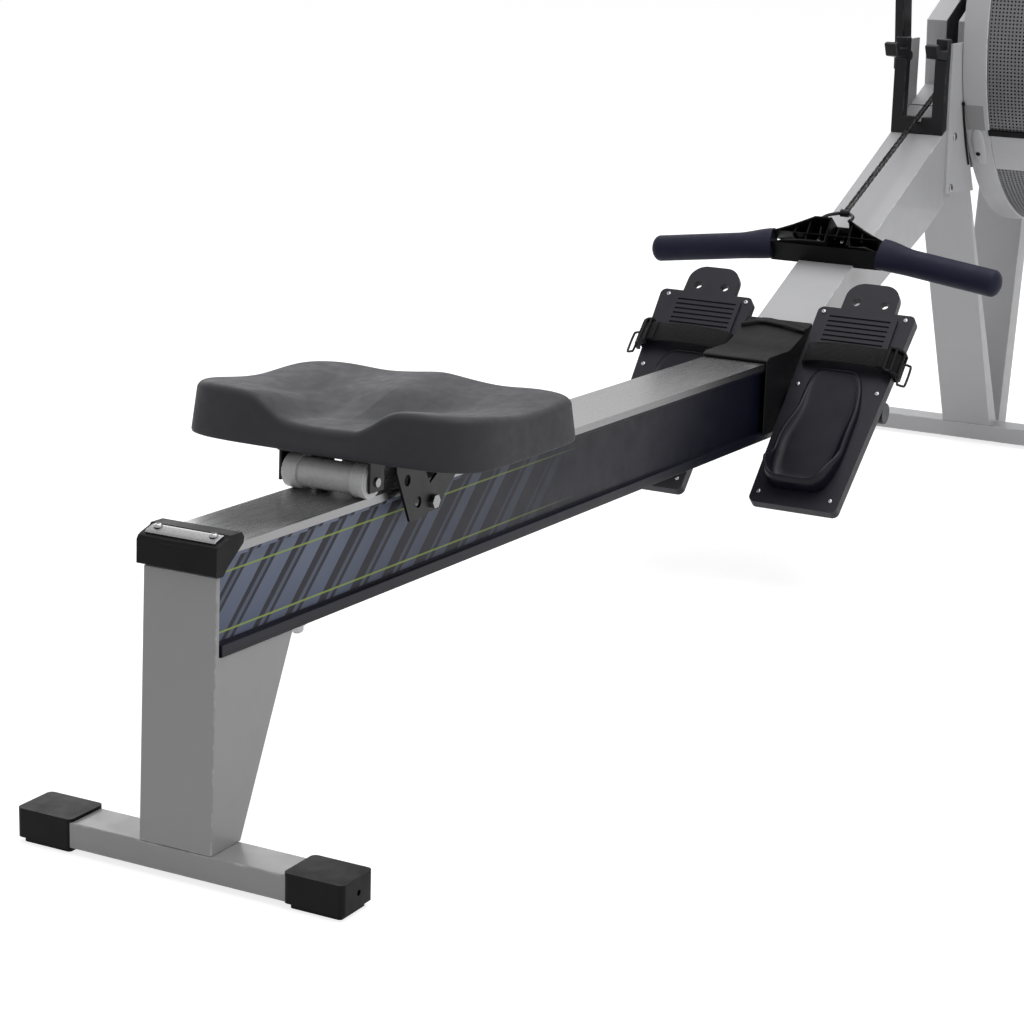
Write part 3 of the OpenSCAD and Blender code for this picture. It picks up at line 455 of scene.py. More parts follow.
PAINT = {"grain_size": 500.0, "depth": 0.0002, "coat": 0.12, "specular": 0.4}
FINISH = {
    "mid_paint": finish("mid_grey_paint", (134, 134, 135), 0.42, rubbed=(172, 172, 174),
                        mottle=0.03, **PAINT),
    "light_paint": finish("light_grey_paint", (170, 170, 172), 0.42, rubbed=(205, 205, 207),
                          mottle=0.025, **PAINT),
    "tube_metal": finish("tube_paint", (157, 157, 159), 0.42, rubbed=(200, 200, 202),
                         mottle=0.03, **PAINT),
    "screw_steel": finish("screw_steel", (158, 158, 161), 0.24, metal=1.0, mottle=0.08,
                          cloud=160.0, grain=0.1),
    "black_plastic": finish("black_plastic", (10, 10, 12), 0.50, mottle=0.10, grain=0.35,
                            rubbed=(40, 40, 43), specular=0.12),
    "plate_plastic": finish("plate_plastic", (24, 24, 32), 0.42, mottle=0.10, grain=0.3,
                            rubbed=(60, 61, 69), specular=0.22),
    "cup_plastic": finish("cup_plastic", (14, 14, 24), 0.34, mottle=0.06, grain=0.08,
                          rubbed=(46, 48, 60), specular=0.18),
    "cage_plastic": finish("cage_plastic", (172, 172, 174), 0.40, mottle=0.02, grain=0.2,
                           rubbed=(196, 196, 197), specular=0.4),
    "screen_metal": finish("screen_metal", (108, 108, 110), 0.45, metal=0.3, mottle=0.05),
    "fan_metal": finish("fan_metal", (52, 52, 55), 0.45, metal=0.5, mottle=0.08),
    "grip_rubber": finish("grip_rubber", (20, 20, 40), 0.58, mottle=0.06, grain=0.35,
                          grain_size=700.0, depth=0.0003, specular=0.16),
    "seat_foam": finish("seat_foam", (46, 46, 50), 0.60, mottle=0.05, cloud=14.0, grain=0.45,
                        grain_size=1500.0, specular=0.22),
    "black_steel": finish("black_steel", (14, 14, 17), 0.36, mottle=0.10, grain=0.2,
                          rubbed=(64, 64, 70), specular=0.20),
    "wheel_rubber": finish("wheel_rubber", (30, 30, 32), 0.7, mottle=0.12, grain=0.5,
                           specular=0.2),
    "key_plastic": finish("key_plastic", (86, 88, 92), 0.45, mottle=0.04, grain=0.2),
}
print("plain finishes", len(FINISH))

# %% [markdown]
# ## Finishes with a pattern of their own
# The running surface is rolled stainless steel: its scratches run along the rail, so the noise is
# stretched along X. The rollers are milky nylon that lets some light through. The webbing has ribs along
# and picks across, which follow the strap, so they read the strap's own UV map instead.

# %% Steel, nylon, webbing and glass
def brushed(name, colour, rough, streak):
    material, tree, shader, place = start_finish(name)
    lines = noise(tree, stretched(tree, place, 1.2, streak, streak), 1.0, 4.0, 0.6)
    axes = axes_of(tree, place)
    # The steel is painted darker from the middle of the rail towards its front: a painted shade.
    tone = times(tree, ranged(tree, lines, 0.3, 0.7, 0.95, 1.03),
                 ranged(tree, axes[0], -0.55, 0.0, 1.0, 0.60))
    bumped(tree, shader, lines, 0.06, 0.00005)
    gloss = ranged(tree, lines, 0.3, 0.7, rough - 0.04, rough + 0.05)
    plug(tree, shader, {"Base Color": scaled(tree, colour, tone), "Roughness": gloss, "Metallic": 1.0})
    return material


def nylon(name):
    material, tree, shader, place = start_finish(name)
    plug(tree, shader, {
        "Base Color": toned(tree, place, shade(182, 182, 183), 0.04, 30.0),
        "Roughness": ranged(tree, noise(tree, place, 220.0), 0.35, 0.7, 0.22, 0.42),
        "Subsurface Weight": 0.35, "Subsurface Scale": 0.004, "Subsurface Radius": (1.0, 1.0, 1.0)})
    bumped(tree, shader, noise(tree, place, 900.0), 0.1, 0.0001)
    return material


WEB_RIB = 0.0016
WEB_PICK = 0.0011


def webbing(name):
    material, tree, shader, place = start_finish(name)
    web = grow(tree, "ShaderNodeUVMap", uv_map="weave").outputs[0]
    axes = axes_of(tree, web)
    along = maths(tree, "SINE", times(tree, axes[0], 2 * math.pi / WEB_PICK))
    across = maths(tree, "SINE", times(tree, axes[1], 2 * math.pi / WEB_RIB))
    weave = times(tree, along, across)
    height = maths(tree, "MULTIPLY_ADD", weave, 0.5, across)
    fuzz = ranged(tree, noise(tree, place, 400.0), 0.3, 0.7, 0.8, 1.25)
    lift = times(tree, ranged(tree, weave, -1.0, 1.0, 0.75, 1.3), fuzz)
    plug(tree, shader, {
        "Base Color": scaled(tree, shade(11, 11, 13), lift),
        "Roughness": ranged(tree, fuzz, 0.8, 1.25, 0.6, 0.8),
        "Specular IOR Level": 0.12, "Sheen Weight": 0.05})
    bumped(tree, shader, height, 0.5, 0.0003)
    return material


def oiled_steel(name):
    """Dark chain steel whose rubbed places shine."""
    material, tree, shader, place = start_finish(name)
    rub = ranged(tree, noise(tree, place, 260.0), 0.48, 0.60, 0.0, 1.0)
    plug(tree, shader, {
        "Base Color": mixed(tree, rub, shade(30, 29, 30), shade(96, 94, 92)),
        "Roughness": ranged(tree, rub, 0.0, 1.0, 0.46, 0.26), "Metallic": 0.8})
    bumped(tree, shader, noise(tree, place, 900.0), 0.2, 0.0001)
    return material


def display(name):
    """Grey-green liquid crystal glass, bare of any figure."""
    material, tree, shader, place = start_finish(name)
    axes = axes_of(tree, place)
    rows = maths(tree, "FRACT", times(tree, axes[2], 55.0))
    line = ranged(tree, maths(tree, "PINGPONG", rows, 0.5), 0.0, 0.04, 0.86, 1.0)
    glass = toned(tree, place, shade(140, 150, 138), 0.04, 24.0)
    plug(tree, shader, {
        "Base Color": scaled(tree, glass, line), "Coat Weight": 0.4,
        "Roughness": ranged(tree, noise(tree, place, 40.0), 0.3, 0.7, 0.10, 0.18)})
    return material


FINISH["bright_steel"] = brushed("running_steel", shade(140, 140, 141), 0.28, 900.0)
FINISH["roller_nylon"] = nylon("roller_nylon")
FINISH["webbing"] = webbing("black_webbing")
FINISH["chain_steel"] = oiled_steel("oiled_chain")
FINISH["screen_panel"] = display("display_glass")
print("finishes", len(FINISH))

# %% [markdown]
# ## The printed rail
# A printed film covers the rail's sides. It is charcoal at the rear and runs into a dark navy towards
# the footplates. A generic pattern of slanted bars in grey blue, with two thin lime lines along the
# rail, stands on it. It could be an image, but plain arithmetic on the coordinates stays sharp close by.

# %% Printed film on the rail
FILM_LOW = 0.187
RAIL_FALL = 0.0258
BAR_LEAN = 1.1
BARS_PER_METRE = 19.0
BARS_SHIFT, BARS_CROWD = 0.12, 0.80
BARS_END = (0.16, 0.60)
BAR_BAND = (0.012, 0.081)
BAR_SHARE = (0.62, 0.14)
THIN_AT, THIN_HALF = 0.82, (0.07, 0.03)
PATTERN_RUN = (0.0, 0.7)
CHARCOAL, NAVY = shade(28, 28, 38), shade(12, 12, 26)
BAR_LOW, BAR_HIGH, THIN_BAR = shade(70, 78, 98), shade(98, 106, 124), shade(84, 92, 112)
LIME, FLANGE_BLACK = shade(132, 150, 62), shade(20, 20, 28)
LINE_HEIGHTS = (0.019, 0.066)
LINE_HALF = 0.0008
FLANGE_TOP = 0.004


def printed_film(name):
    material, tree, shader, place = start_finish(name)
    centred = grow(tree, "ShaderNodeMapping", {"Vector": place, "Location": (MIDDLE_X * MILLIMETRE, 0, 0)})
    axes = axes_of(tree, centred.outputs[0])
    along = axes[0]
    level = maths(tree, "ADD", maths(tree, "MULTIPLY_ADD", along, RAIL_FALL, axes[2]), -FILM_LOW)
    lean = maths(tree, "ADD", maths(tree, "MULTIPLY_ADD", level, -BAR_LEAN, along), BARS_SHIFT)
    stretch = maths(tree, "POWER", maths(tree, "MAXIMUM", lean, 0.001), BARS_CROWD)
    beat = maths(tree, "FRACT", times(tree, stretch, BARS_PER_METRE))
    bar = maths(tree, "LESS_THAN", beat, ranged(tree, along, *PATTERN_RUN, *BAR_SHARE))
    off = maths(tree, "ABSOLUTE", maths(tree, "SUBTRACT", beat, THIN_AT))
    thin = maths(tree, "LESS_THAN", off, ranged(tree, along, *PATTERN_RUN, *THIN_HALF))
    fade = ranged(tree, along, *BARS_END, 1.0, 0.0)
    low = maths(tree, "GREATER_THAN", level, BAR_BAND[0])
    high = maths(tree, "LESS_THAN", level, BAR_BAND[1])
    inside = times(tree, low, high, fade)
    dark = mixed(tree, ranged(tree, along, 0.05, 0.6, 0.0, 1.0), CHARCOAL, NAVY)
    blue = mixed(tree, ranged(tree, level, 0.01, 0.08, 0.0, 1.0), BAR_LOW, BAR_HIGH)
    colour = mixed(tree, times(tree, bar, inside), dark, blue)
    colour = mixed(tree, times(tree, thin, inside, 0.7), colour, THIN_BAR)
    for height in LINE_HEIGHTS:
        off = maths(tree, "ABSOLUTE", maths(tree, "SUBTRACT", level, height))
        line = maths(tree, "LESS_THAN", off, LINE_HALF)
        factor = times(tree, line, ranged(tree, along, 0.3, 0.62, 0.8, 0.0))
        colour = mixed(tree, factor, colour, LIME)
    colour = mixed(tree, maths(tree, "LESS_THAN", level, FLANGE_TOP), colour, FLANGE_BLACK)
    mottle = ranged(tree, noise(tree, place, 14.0), 0.3, 0.7, 0.96, 1.05)
    plug(tree, shader, {
        "Base Color": scaled(tree, colour, mottle), "Specular IOR Level": 0.12,
        "Roughness": ranged(tree, noise(tree, place, 50.0), 0.3, 0.7, 0.28, 0.38)})
    bumped(tree, shader, noise(tree, place, 500.0), 0.08, 0.0001)
    return material


FINISH["rail_metal"] = printed_film("printed_film")
print("film bars lean", BAR_LEAN, "to 1")

# %% [markdown]
# ## Finishes on the CAD pieces
# The record says which slot each CAD node takes its finish from by its place in the drawing. Each node
# gets that slot's material in its own material slots; its mesh is left alone.

# %% Assign finishes
SLOT_NODES = {
    "mid_paint": ["rear_foot_bar", "rear_leg"],
    "light_paint": ["front_leg_rear", "front_leg_front", "front_foot_bar", "caster_forks", "chassis"],
    "rail_metal": ["rail_beam"],
    "tube_metal": ["main_tube"],
    "bright_steel": ["rail_track", "rail_trim", "roller_axles", "sprocket"],
    "screw_steel": ["leg_screws", "footplate_screws"],
    "black_plastic": ["rear_foot_caps", "front_foot_caps", "rail_end_cap", "front_cover",
                      "strap_buckle_left", "strap_buckle_right", "handle_core", "damper_lever",
                      "monitor_case", "sensor_cable"],
    "plate_plastic": ["footplate_left", "footplate_right"],
    "cup_plastic": ["heel_cup_left", "heel_cup_right"],
    "webbing": ["foot_strap_left", "foot_strap_right"],
    "cage_plastic": ["cage_rim_inner", "cage_rim_outer", "cage_band"],
    "screen_metal": ["cage_screen"],
    "fan_metal": ["flywheel", "fan_blades"],
    "chain_steel": ["chain_upper", "chain_middle", "chain_lower"],
    "grip_rubber": ["handle_grips"],
    "seat_foam": ["seat_pad"],
    "black_steel": ["seat_plate", "bracket_left", "bracket_right", "footrest_bracket", "handle_hook",
                    "monitor_arm", "monitor_yoke", "chain_swivel"],
    "roller_nylon": ["top_roller_rear", "top_roller_front", "low_roller_left", "low_roller_right"],
    "wheel_rubber": ["caster_wheel_left", "caster_wheel_right"],
    "screen_panel": ["monitor_screen"],
    "key_plastic": ["key_left", "key_middle", "key_right"],
}
SLOT_OF = {node: slot for slot, members in SLOT_NODES.items() for node in members}
for node, obj in nodes.items():
    obj.data.materials.clear()
    obj.data.materials.append(FINISH[SLOT_OF[node]])
print("nodes with a finish", len(SLOT_OF))

# %% [markdown]
# ## Softened sheet and moulded parts
# The legs, the tube, the foot bars, the caps and the hook are right as the CAD has them and only need
# their edges rounded: folded sheet has a radius near its own thickness, a plastic cap a little more.

# %% Softened CAD pieces
SOFTENED = {
    "rear_leg": 1.2, "rear_foot_bar": 1.6, "front_foot_bar": 1.6, "rear_foot_caps": 3.6,
    "front_foot_caps": 3.6, "rail_end_cap": 1.6, "main_tube": 2.6, "front_leg_rear": 1.1,
    "front_leg_front": 1.1, "chassis": 1.1, "handle_hook": 1.4, "seat_plate": 0.6,
    "bracket_left": 0.7, "bracket_right": 0.7, "caster_forks": 0.7,
    "monitor_arm": 1.2, "monitor_yoke": 1.4, "monitor_case": 2.4, "damper_lever": 0.9,
    "cage_rim_inner": 1.4, "cage_rim_outer": 1.4, "footplate_left": 0.8, "footplate_right": 0.8,
    "key_left": 0.8, "key_middle": 0.8, "key_right": 0.8, "footrest_bracket": 1.0,
    "rail_beam": 0.5, "cage_band": 0.8, "sprocket": 0.4, "top_roller_rear": 1.0,
    "top_roller_front": 1.0, "low_roller_left": 0.8, "low_roller_right": 0.8, "roller_axles": 0.4,
    "caster_wheel_left": 1.4, "caster_wheel_right": 1.4,
}
for node, width in SOFTENED.items():
    piece = soften(node, width)
    print(piece.name, "bevel", width, "mm,", len(piece.data.polygons), "faces")

# %% [markdown]
# ## The cover over the joint
# The moulded cover ends just where the tube comes out, so its copy is cut off square to the tube. A low
# wavy step crosses its top. It is lofted from one short section after another, each where the wave runs.

# %% Cover with its wavy step
COVER_END = Vector((1182.0, 0.0, 275.2))
COVER_BEVEL = 0.0016
STEP_DEEP = 13
TUBE_RISE = 0.44705
COVER_TOP = [(1064, 250.5), (1120, 252.8), (1150, 262.0), (1176, 272.0), (1212, 291.0)]
STEP_COURSE = [(-38.8, 1159.0), (-27, 1161.5), (-12, 1165.5), (0, 1167.5), (12, 1169.3), (22, 1168.6),
               (32, 1163.0), (38.8, 1159.5)]


def read_off(line, x):
    """The height of a line of points at one place."""
    return float(np.interp(x, [p[0] for p in line], [p[1] for p in line]))


bm = clean_copy("front_cover")
cut = bmesh.ops.bisect_plane(bm, geom=bm.verts[:] + bm.edges[:] + bm.faces[:], clear_outer=True,
                             plane_co=FRONT @ COVER_END, plane_no=Vector((1, 0, TUBE_RISE)).normalized())
opened = [e for e in cut["geom_cut"] if isinstance(e, bmesh.types.BMEdge)]
bmesh.ops.triangle_fill(bm, edges=opened, use_beauty=True, use_dissolve=False)
flat_faces(bm)
rounded_edges(bm, COVER_BEVEL)
short_cover = weigh_normals(hold("joint_cover", bm, "frame", "black_plastic", node="front_cover"))

rings = []
for y in np.linspace(STEP_COURSE[0][0], STEP_COURSE[-1][0], 41):
    x = read_off(STEP_COURSE, y)
    z, far = read_off(COVER_TOP, x), read_off(COVER_TOP, x + STEP_DEEP)
    rings.append([(x + 1, y, z - 2), (x - 0.4, y, z + 3.2), (x + 0.6, y, z + 4.6), (x + 2.4, y, z + 5.2),
                  (x + STEP_DEEP, y, far + 0.3), (x + STEP_DEEP, y, far - 2)])
ledge = lofted("cover_step", rings, "frame", "black_plastic", FRONT, math.radians(50))
print("cover faces", len(short_cover.data.polygons), "step", len(ledge.data.polygons))

# %% [markdown]
# ## The seat
# The seat is one moulding of dense foam: a rounded block whose top is dished for the sit bones, with a
# deep notch at the rear. It could be sculpted by hand, but its shape follows a rule: rings that run in
# from the edge to the middle, each lifted to the height that a few smooth steps and bells give.

# %% Seat
SEAT_MIDDLE = 301.0
SEAT_LOW = 311.0
SEAT_HALF_DEEP = 108.75
SEAT_HALF_WIDE = 147.0
SEAT_EDGE = 39.0
SEAT_CORNER = 6.2
SEAT_AROUND = 176
REAR_LIFT, SIDE_SAG, RIDGE_RISE = 7, 4, 2
SIT_DIP, NOTCH_DEEP, THIGH_DIP = 11, 17, 2.5
SEAT_UNDER = 1.5
SEAT_WALL_IN = 3.45
SEAT_ROUND = 8
SEAT_STEPS = 24


def bell(t, middle, width):
    return math.exp(-(((t - middle) / width) ** 2))


def seat_crown(u, v):
    """Height over the edge; u runs from rear to front and v across, from -1 to 1."""
    side = abs(v)
    height = REAR_LIFT * eased(1 - u / 0.6) * eased(side / 0.6) - SIDE_SAG * bell(u, 0.55, 0.3) * side
    height -= SIT_DIP * bell(side, 0.42, 0.27) * bell(u, 0.42, 0.25)
    height -= NOTCH_DEEP * eased((0.5 - side) / 0.3) * eased((0.62 - u) / 0.4)
    height -= THIGH_DIP * bell(side, 0.40, 0.20) * eased((u - 0.55) / 0.4)
    return height + RIDGE_RISE * bell(v, 0, 0.14) * eased((u - 0.6) / 0.3)


def seat_reach(angle, inset):
    a = (abs(math.cos(angle)) / (SEAT_HALF_DEEP - inset)) ** SEAT_CORNER
    b = (abs(math.sin(angle)) / (SEAT_HALF_WIDE - inset)) ** SEAT_CORNER
    return (a + b) ** (-1 / SEAT_CORNER)


def seat_profile():
    """Rows of inset, shrink, share of the crown and height, from underneath to the middle."""
    rows = [(26, 1, 0, SEAT_UNDER), (14, 1, 0, 0.3), (5, 1, 0, 0), (1.6, 1, 0, 0.1), (0.35, 1, 0, 0.7),
            (0, 1, 0, 2), (0.25, 1, 0, 5)]
    for step in range(1, 6):
        share = step / 5
        rows.append((0.25 + 3.2 * share, 1, share, 5 * (1 - share) - SEAT_ROUND * share))
    for step in range(1, 9):
        turn = math.radians(step * 90 / 8)
        inset = SEAT_WALL_IN + SEAT_ROUND * (1 - math.cos(turn))
        rows.append((inset, 1, 1, SEAT_ROUND * (math.sin(turn) - 1)))
    inset = SEAT_WALL_IN + SEAT_ROUND
    return rows + [(inset, 1 - step / SEAT_STEPS, 1, 0) for step in range(1, SEAT_STEPS)]


bm = bmesh.new()
rings = []
for inset, shrink, lift, height in seat_profile():
    ring = []
    for angle in turns(SEAT_AROUND):
        reach = seat_reach(angle, inset) * shrink
        x, y = reach * math.cos(angle), reach * math.sin(angle)
        crown = seat_crown((x / SEAT_HALF_DEEP + 1) / 2, y / SEAT_HALF_WIDE)
        base = (SEAT_EDGE + crown) * lift + height if lift else height
        ring.append(bm.verts.new((SEAT_MIDDLE + x, y, SEAT_LOW + base)))
    rings.append(ring)
close_rings(bm, rings, caps=False)
fan(bm, rings[-1], (SEAT_MIDDLE, 0, SEAT_LOW + SEAT_EDGE + seat_crown(0.5, 0)))
fan(bm, rings[0], (SEAT_MIDDLE, 0, SEAT_LOW + SEAT_UNDER))
seat = hold("seat_cushion", bm, "seat", "seat_foam", RAIL, node="seat_pad")
print("seat faces", len(seat.data.polygons))

# %% [markdown]
# ## Geometry Nodes for what repeats
# Screws, chain links, stitches and the holes of the cage's screen are all one small shape used many
# times. Copying by hand is slow and hard to change. A Geometry Nodes tree makes the shape once, puts it
# on points and keeps its sizes as named inputs. Its result is then baked into one plain mesh.

# %% Growing pieces from trees
def new_tree(name, inputs):
    """A node group with named inputs; gives the tree and its input sockets."""
    tree = bpy.data.node_groups.new(name, "GeometryNodeTree")
    tree.interface.new_socket("Geometry", in_out="INPUT", socket_type="NodeSocketGeometry")
    tree.interface.new_socket("Geometry", in_out="OUTPUT", socket_type="NodeSocketGeometry")
    for label, kind in inputs.items():
        tree.interface.new_socket(label, in_out="INPUT", socket_type="NodeSocket" + kind)
    tree.interface.new_socket("Material", in_out="INPUT", socket_type="NodeSocketMaterial")
    return tree, tree.nodes.new("NodeGroupInput").outputs


def end_tree(tree, put, geometry):
    """Realizes the instances, gives them the material and ends the tree."""
    real = grow(tree, "GeometryNodeRealizeInstances", {"Geometry": geometry}).outputs[0]
    done = grow(tree, "GeometryNodeSetMaterial", {"Geometry": real, "Material": put["Material"]})
    out = tree.nodes.new("NodeGroupOutput")
    tree.links.new(done.outputs[0], out.inputs[0])
    return tree


def grown(name, tree, values, body, slot, place, points=(), node=None):
    """Runs a tree on an object of loose points and bakes it into one plain piece."""
    mesh = bpy.data.meshes.new(name)
    mesh.from_pydata([tuple(point) for point in points], [], [])
    obj = shown(name, mesh)
    modifier = obj.modifiers.new("grow", "NODES")
    modifier.node_group = tree
    values = {**values, "Material": FINISH[slot]}
    for item in tree.interface.items_tree:
        if item.in_out == "INPUT" and item.name in values:
            modifier[item.identifier] = values[item.name]
    make_plain(obj)
    obj.data.transform(place)
    if place.determinant() < 0:
        obj.data.flip_normals()
    for poly in obj.data.polygons:
        poly.use_smooth = True
    obj.data.set_sharp_from_angle(angle=SHARP)
    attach(obj, body)
    if node is not None:
        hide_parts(node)
    print(name, len(obj.data.polygons), "faces")


def vector(tree, x=0.0, y=0.0, z=0.0):
    return grow(tree, "ShaderNodeCombineXYZ", {0: x, 1: y, 2: z}).outputs[0]


def placed(tree, geometry, shift=(0, 0, 0), turn=(0, 0, 0)):
    values = {"Geometry": geometry, "Translation": shift, "Rotation": turn}
    return grow(tree, "GeometryNodeTransform", values).outputs[0]


def tube(tree, sides, radius, depth):
    """A mesh cylinder node; its outputs are named Mesh and Top."""
    values = {"Vertices": sides, "Radius": radius, "Depth": depth}
    return grow(tree, "GeometryNodeMeshCylinder", values).outputs


def spread(tree, points, instance, **more):
    values = {"Points": points, "Instance": instance, **more}
    return grow(tree, "GeometryNodeInstanceOnPoints", values).outputs[0]


def joined(tree, *parts):
    node = tree.nodes.new("GeometryNodeJoinGeometry")
    for part in parts:
        tree.links.new(part, node.inputs[0])
    return node.outputs[0]


# %% [markdown]
# ## Screws
# Button head screws have a low dome with a round socket for the key. The head starts as a short
# cylinder. Its top is pulled up and in for the dome, then in and down for the socket. The tree puts one
# on every loose point of the object that carries it.

# %% Screw heads
def screw_tree():
    tree, put = new_tree("screw_heads", {"Head Radius": "Float", "Head Height": "Float",
                                         "Sides": "Int"})
    half = times(tree, put["Head Height"], 0.5)
    head = tube(tree, put["Sides"], put["Head Radius"], half)
    mesh, top = head["Mesh"], head["Top"]
    for rise, scale in ((0.6, 0.9), (0.4, 0.72), (0.0, 0.62), (-1.1, 0.98)):
        lift = times(tree, half, rise)
        step = grow(tree, "GeometryNodeExtrudeMesh", {
            "Mesh": mesh, "Selection": top, "Offset Scale": lift, "Individual": False}, mode="FACES")
        top = step.outputs["Top"]
        mesh = grow(tree, "GeometryNodeScaleElements", {
            "Geometry": step.outputs["Mesh"], "Selection": top, "Scale": scale}).outputs[0]
    lifted = placed(tree, mesh, vector(tree, 0.0, 0.0, times(tree, half, 0.5)))
    return end_tree(tree, put, spread(tree, put["Geometry"], lifted))


SCREW_HEADS = screw_tree()
PLATE_SCREWS = [(14, 8.5), (14, 93), (157, 8.5), (157, 103), (257, 7.5), (257, 106)]
PLATE_HEAD = {"Head Radius": 2.5, "Head Height": 1.3, "Sides": 24}
CHEEK_SCREWS = [(1634, 448), (1631, 383)]
CHEEK_HEAD = {"Head Radius": 5.2, "Head Height": 2.4, "Sides": 28}
CHEEK_OUT = 37.8
for side in SIDES:
    points = [(x, y, 0.02) for x, y in PLATE_SCREWS]
    grown("plate_screws_" + side, SCREW_HEADS, PLATE_HEAD, "frame", "screw_steel", PLATE[side], points,
          "footplate_screws" if side == "right" else None)
for side, out in SIDES.items():
    turn = Matrix.Rotation(math.radians(-90 * out), 4, "X")
    points = [(x, -out * z, 0) for x, z in CHEEK_SCREWS]
    grown("cheek_screws_" + side, SCREW_HEADS, CHEEK_HEAD, "frame", "screw_steel",
          FRONT @ Matrix.Translation((0, out * CHEEK_OUT, 0)) @ turn, points,
          "leg_screws" if side == "right" else None)

# %% [markdown]
# ## The chain
# A roller chain is pairs of narrow plates on short pins, with the outer pairs overlapping the inner
# ones. The CAD part draws it as three runs, one inside the other, so that it can grow longer when the
# handle is pulled. Each run gets its own row of links, and a second row one pitch further along, or it
# would come apart when it is seen on its own. A link is the hull of two thin discs.

# %% Chain links
CHAIN_PITCH = 6.35
CHAIN_FROM = 10.5
LINK_SIDES = 10


def link_tree():
    tree, put = new_tree("chain_links", {
        "Pitch": "Float", "Count": "Int", "Start": "Float", "Height": "Float", "Thick": "Float",
        "Outwards": "Float", "Pin Radius": "Float", "Pin Length": "Float"})
    radius = times(tree, put["Height"], 0.5)
    lying = (math.pi / 2, 0, 0)
    disc = placed(tree, tube(tree, LINK_SIDES, radius, put["Thick"])["Mesh"], turn=lying)
    half = times(tree, put["Pitch"], 0.5)
    back = times(tree, half, -1.0)
    both = joined(tree, placed(tree, disc, vector(tree, half)), placed(tree, disc, vector(tree, back)))
    plate = grow(tree, "GeometryNodeConvexHull", {"Geometry": both}).outputs[0]
    near = placed(tree, plate, vector(tree, 0.0, times(tree, put["Outwards"], -1.0)))
    far = placed(tree, plate, vector(tree, 0.0, put["Outwards"]))
    pin = tube(tree, LINK_SIDES, put["Pin Radius"], put["Pin Length"])["Mesh"]
    pin = placed(tree, pin, vector(tree, half), lying)
    first = placed(tree, pin, vector(tree, times(tree, put["Pitch"], -1.0)))
    link = joined(tree, near, far, pin, first)
    line = grow(tree, "GeometryNodeMeshLine", {
        "Count": put["Count"], "Start Location": vector(tree, put["Start"]),
        "Offset": vector(tree, times(tree, put["Pitch"], 2.0))}, mode="OFFSET")
    return end_tree(tree, put, spread(tree, line.outputs[0], link))


CHAIN_LINKS = link_tree()
LINK_SIZES = ("Height", "Thick", "Outwards", "Pin Radius", "Pin Length", "Count")
CHAIN_RUNS = {
    "outer_links": ("chain_line", "chain_upper", 0, (5.2, 0.5, 2.2, 0.9, 5.0, 44)),
    "middle_links": ("chain_run", "chain_middle", 1, (4.4, 0.5, 1.55, 0.8, 3.6, 43)),
    "inner_links": ("handle", "chain_lower", 0, (3.5, 0.5, 0.9, 1.6, 1.3, 44)),
    "outer_links_between": ("chain_line", None, 1, (4.4, 0.4, 2.12, 0.9, 4.6, 43)),
    "middle_links_between": ("chain_run", None, 0, (4.0, 0.4, 1.5, 0.8, 3.5, 44)),
    "inner_links_between": ("handle", None, 1, (3.0, 0.4, 0.7, 1.2, 1.3, 43)),
}
for name, (body, node, shift, sizes) in CHAIN_RUNS.items():
    values = {"Pitch": CHAIN_PITCH, "Start": CHAIN_FROM + shift * CHAIN_PITCH, **dict(zip(LINK_SIZES, sizes))}
    grown(name, CHAIN_LINKS, values, body, "chain_steel", CHAIN, node=node)

# %% [markdown]
# ## Sweeping and lofting
# The bail, the cable and the buckles' frames are round wire bent to a course, and the grips and the
# straps change their section along the way. Both are rings of points joined by faces. A curve object
# with a bevel could do the wire, but a mesh made by rings keeps one helper for all of them.

# %% Rings, tubes and smooth courses
def smooth_course(points, steps=6, loop=False):
    """A course through all points by the Catmull and Rom rule."""
    points = [Vector(point) for point in points]
    count = len(points)
    course = []
    for i in range(count if loop else count - 1):
        if loop:
            a, b, c, d = (points[(i + k) % count] for k in (-1, 0, 1, 2))
        else:
            b, c = points[i], points[i + 1]
            a = points[i - 1] if i else b + (b - c)
            d = points[i + 2] if i + 2 < count else c + (c - b)
        for step in range(steps):
            t = step / steps
            course.append(0.5 * ((2 * b) + (c - a) * t + (2 * a - 5 * b + 4 * c - d) * t * t
                                 + (3 * b - a - 3 * c + d) * t ** 3))
    if not loop:
        course.append(points[-1])
    return course


def wire(bm, course, radius, sides=10, loop=False):
    """A round wire along a course."""
    rings = []
    count = len(course)
    side = None
    for i, point in enumerate(course):
        after = course[(i + 1) % count] if loop or i + 1 < count else point
        before = course[i - 1] if loop or i else point
        along = (after - before).normalized()
        if side is None:
            side = along.orthogonal().normalized()
        side = (side - along * side.dot(along)).normalized()
        up = along.cross(side)
        rings.append([bm.verts.new(point + radius * (math.cos(angle) * side + math.sin(angle) * up))
                      for angle in turns(sides)])
    close_rings(bm, rings, loop=loop)


print("points on a sample course", len(smooth_course([(0, 0, 0), (1, 0, 0), (2, 1, 0)])))

# %% [markdown]
# ## Handle grips
# Each grip is soft moulded rubber over a steel bar. It is round at its end, leans back a little, and
# widens towards the middle block, where the thumbs lie. The section is a ring whose front half grows
# near the block; the end closes with a quarter ellipse.

# %% Grips
GRIP_LEAN = math.radians(8.2)
GRIP_FROM = 68.0
GRIP_END = 220.0
GRIP_ROUND = 10.0
GRIP_RADIUS = 15.6
GRIP_FLARE = 0.42


def grip_section(away, radius, flare, side):
    """One ring around the grip's axis, which leans back by GRIP_LEAN."""
    ring = []
    axis_x = -1 - (away - 70) * math.tan(GRIP_LEAN)
    for angle in turns(32):
        x = math.cos(angle) * radius * (1 + (flare if math.cos(angle) > 0 else 0.35 * flare))
        z = math.sin(angle) * radius * (1 - 0.25 * flare)
        skew = -math.tan(GRIP_LEAN) * x * 0.9
        ring.append((axis_x + x, side * (away - skew), z))
    return ring


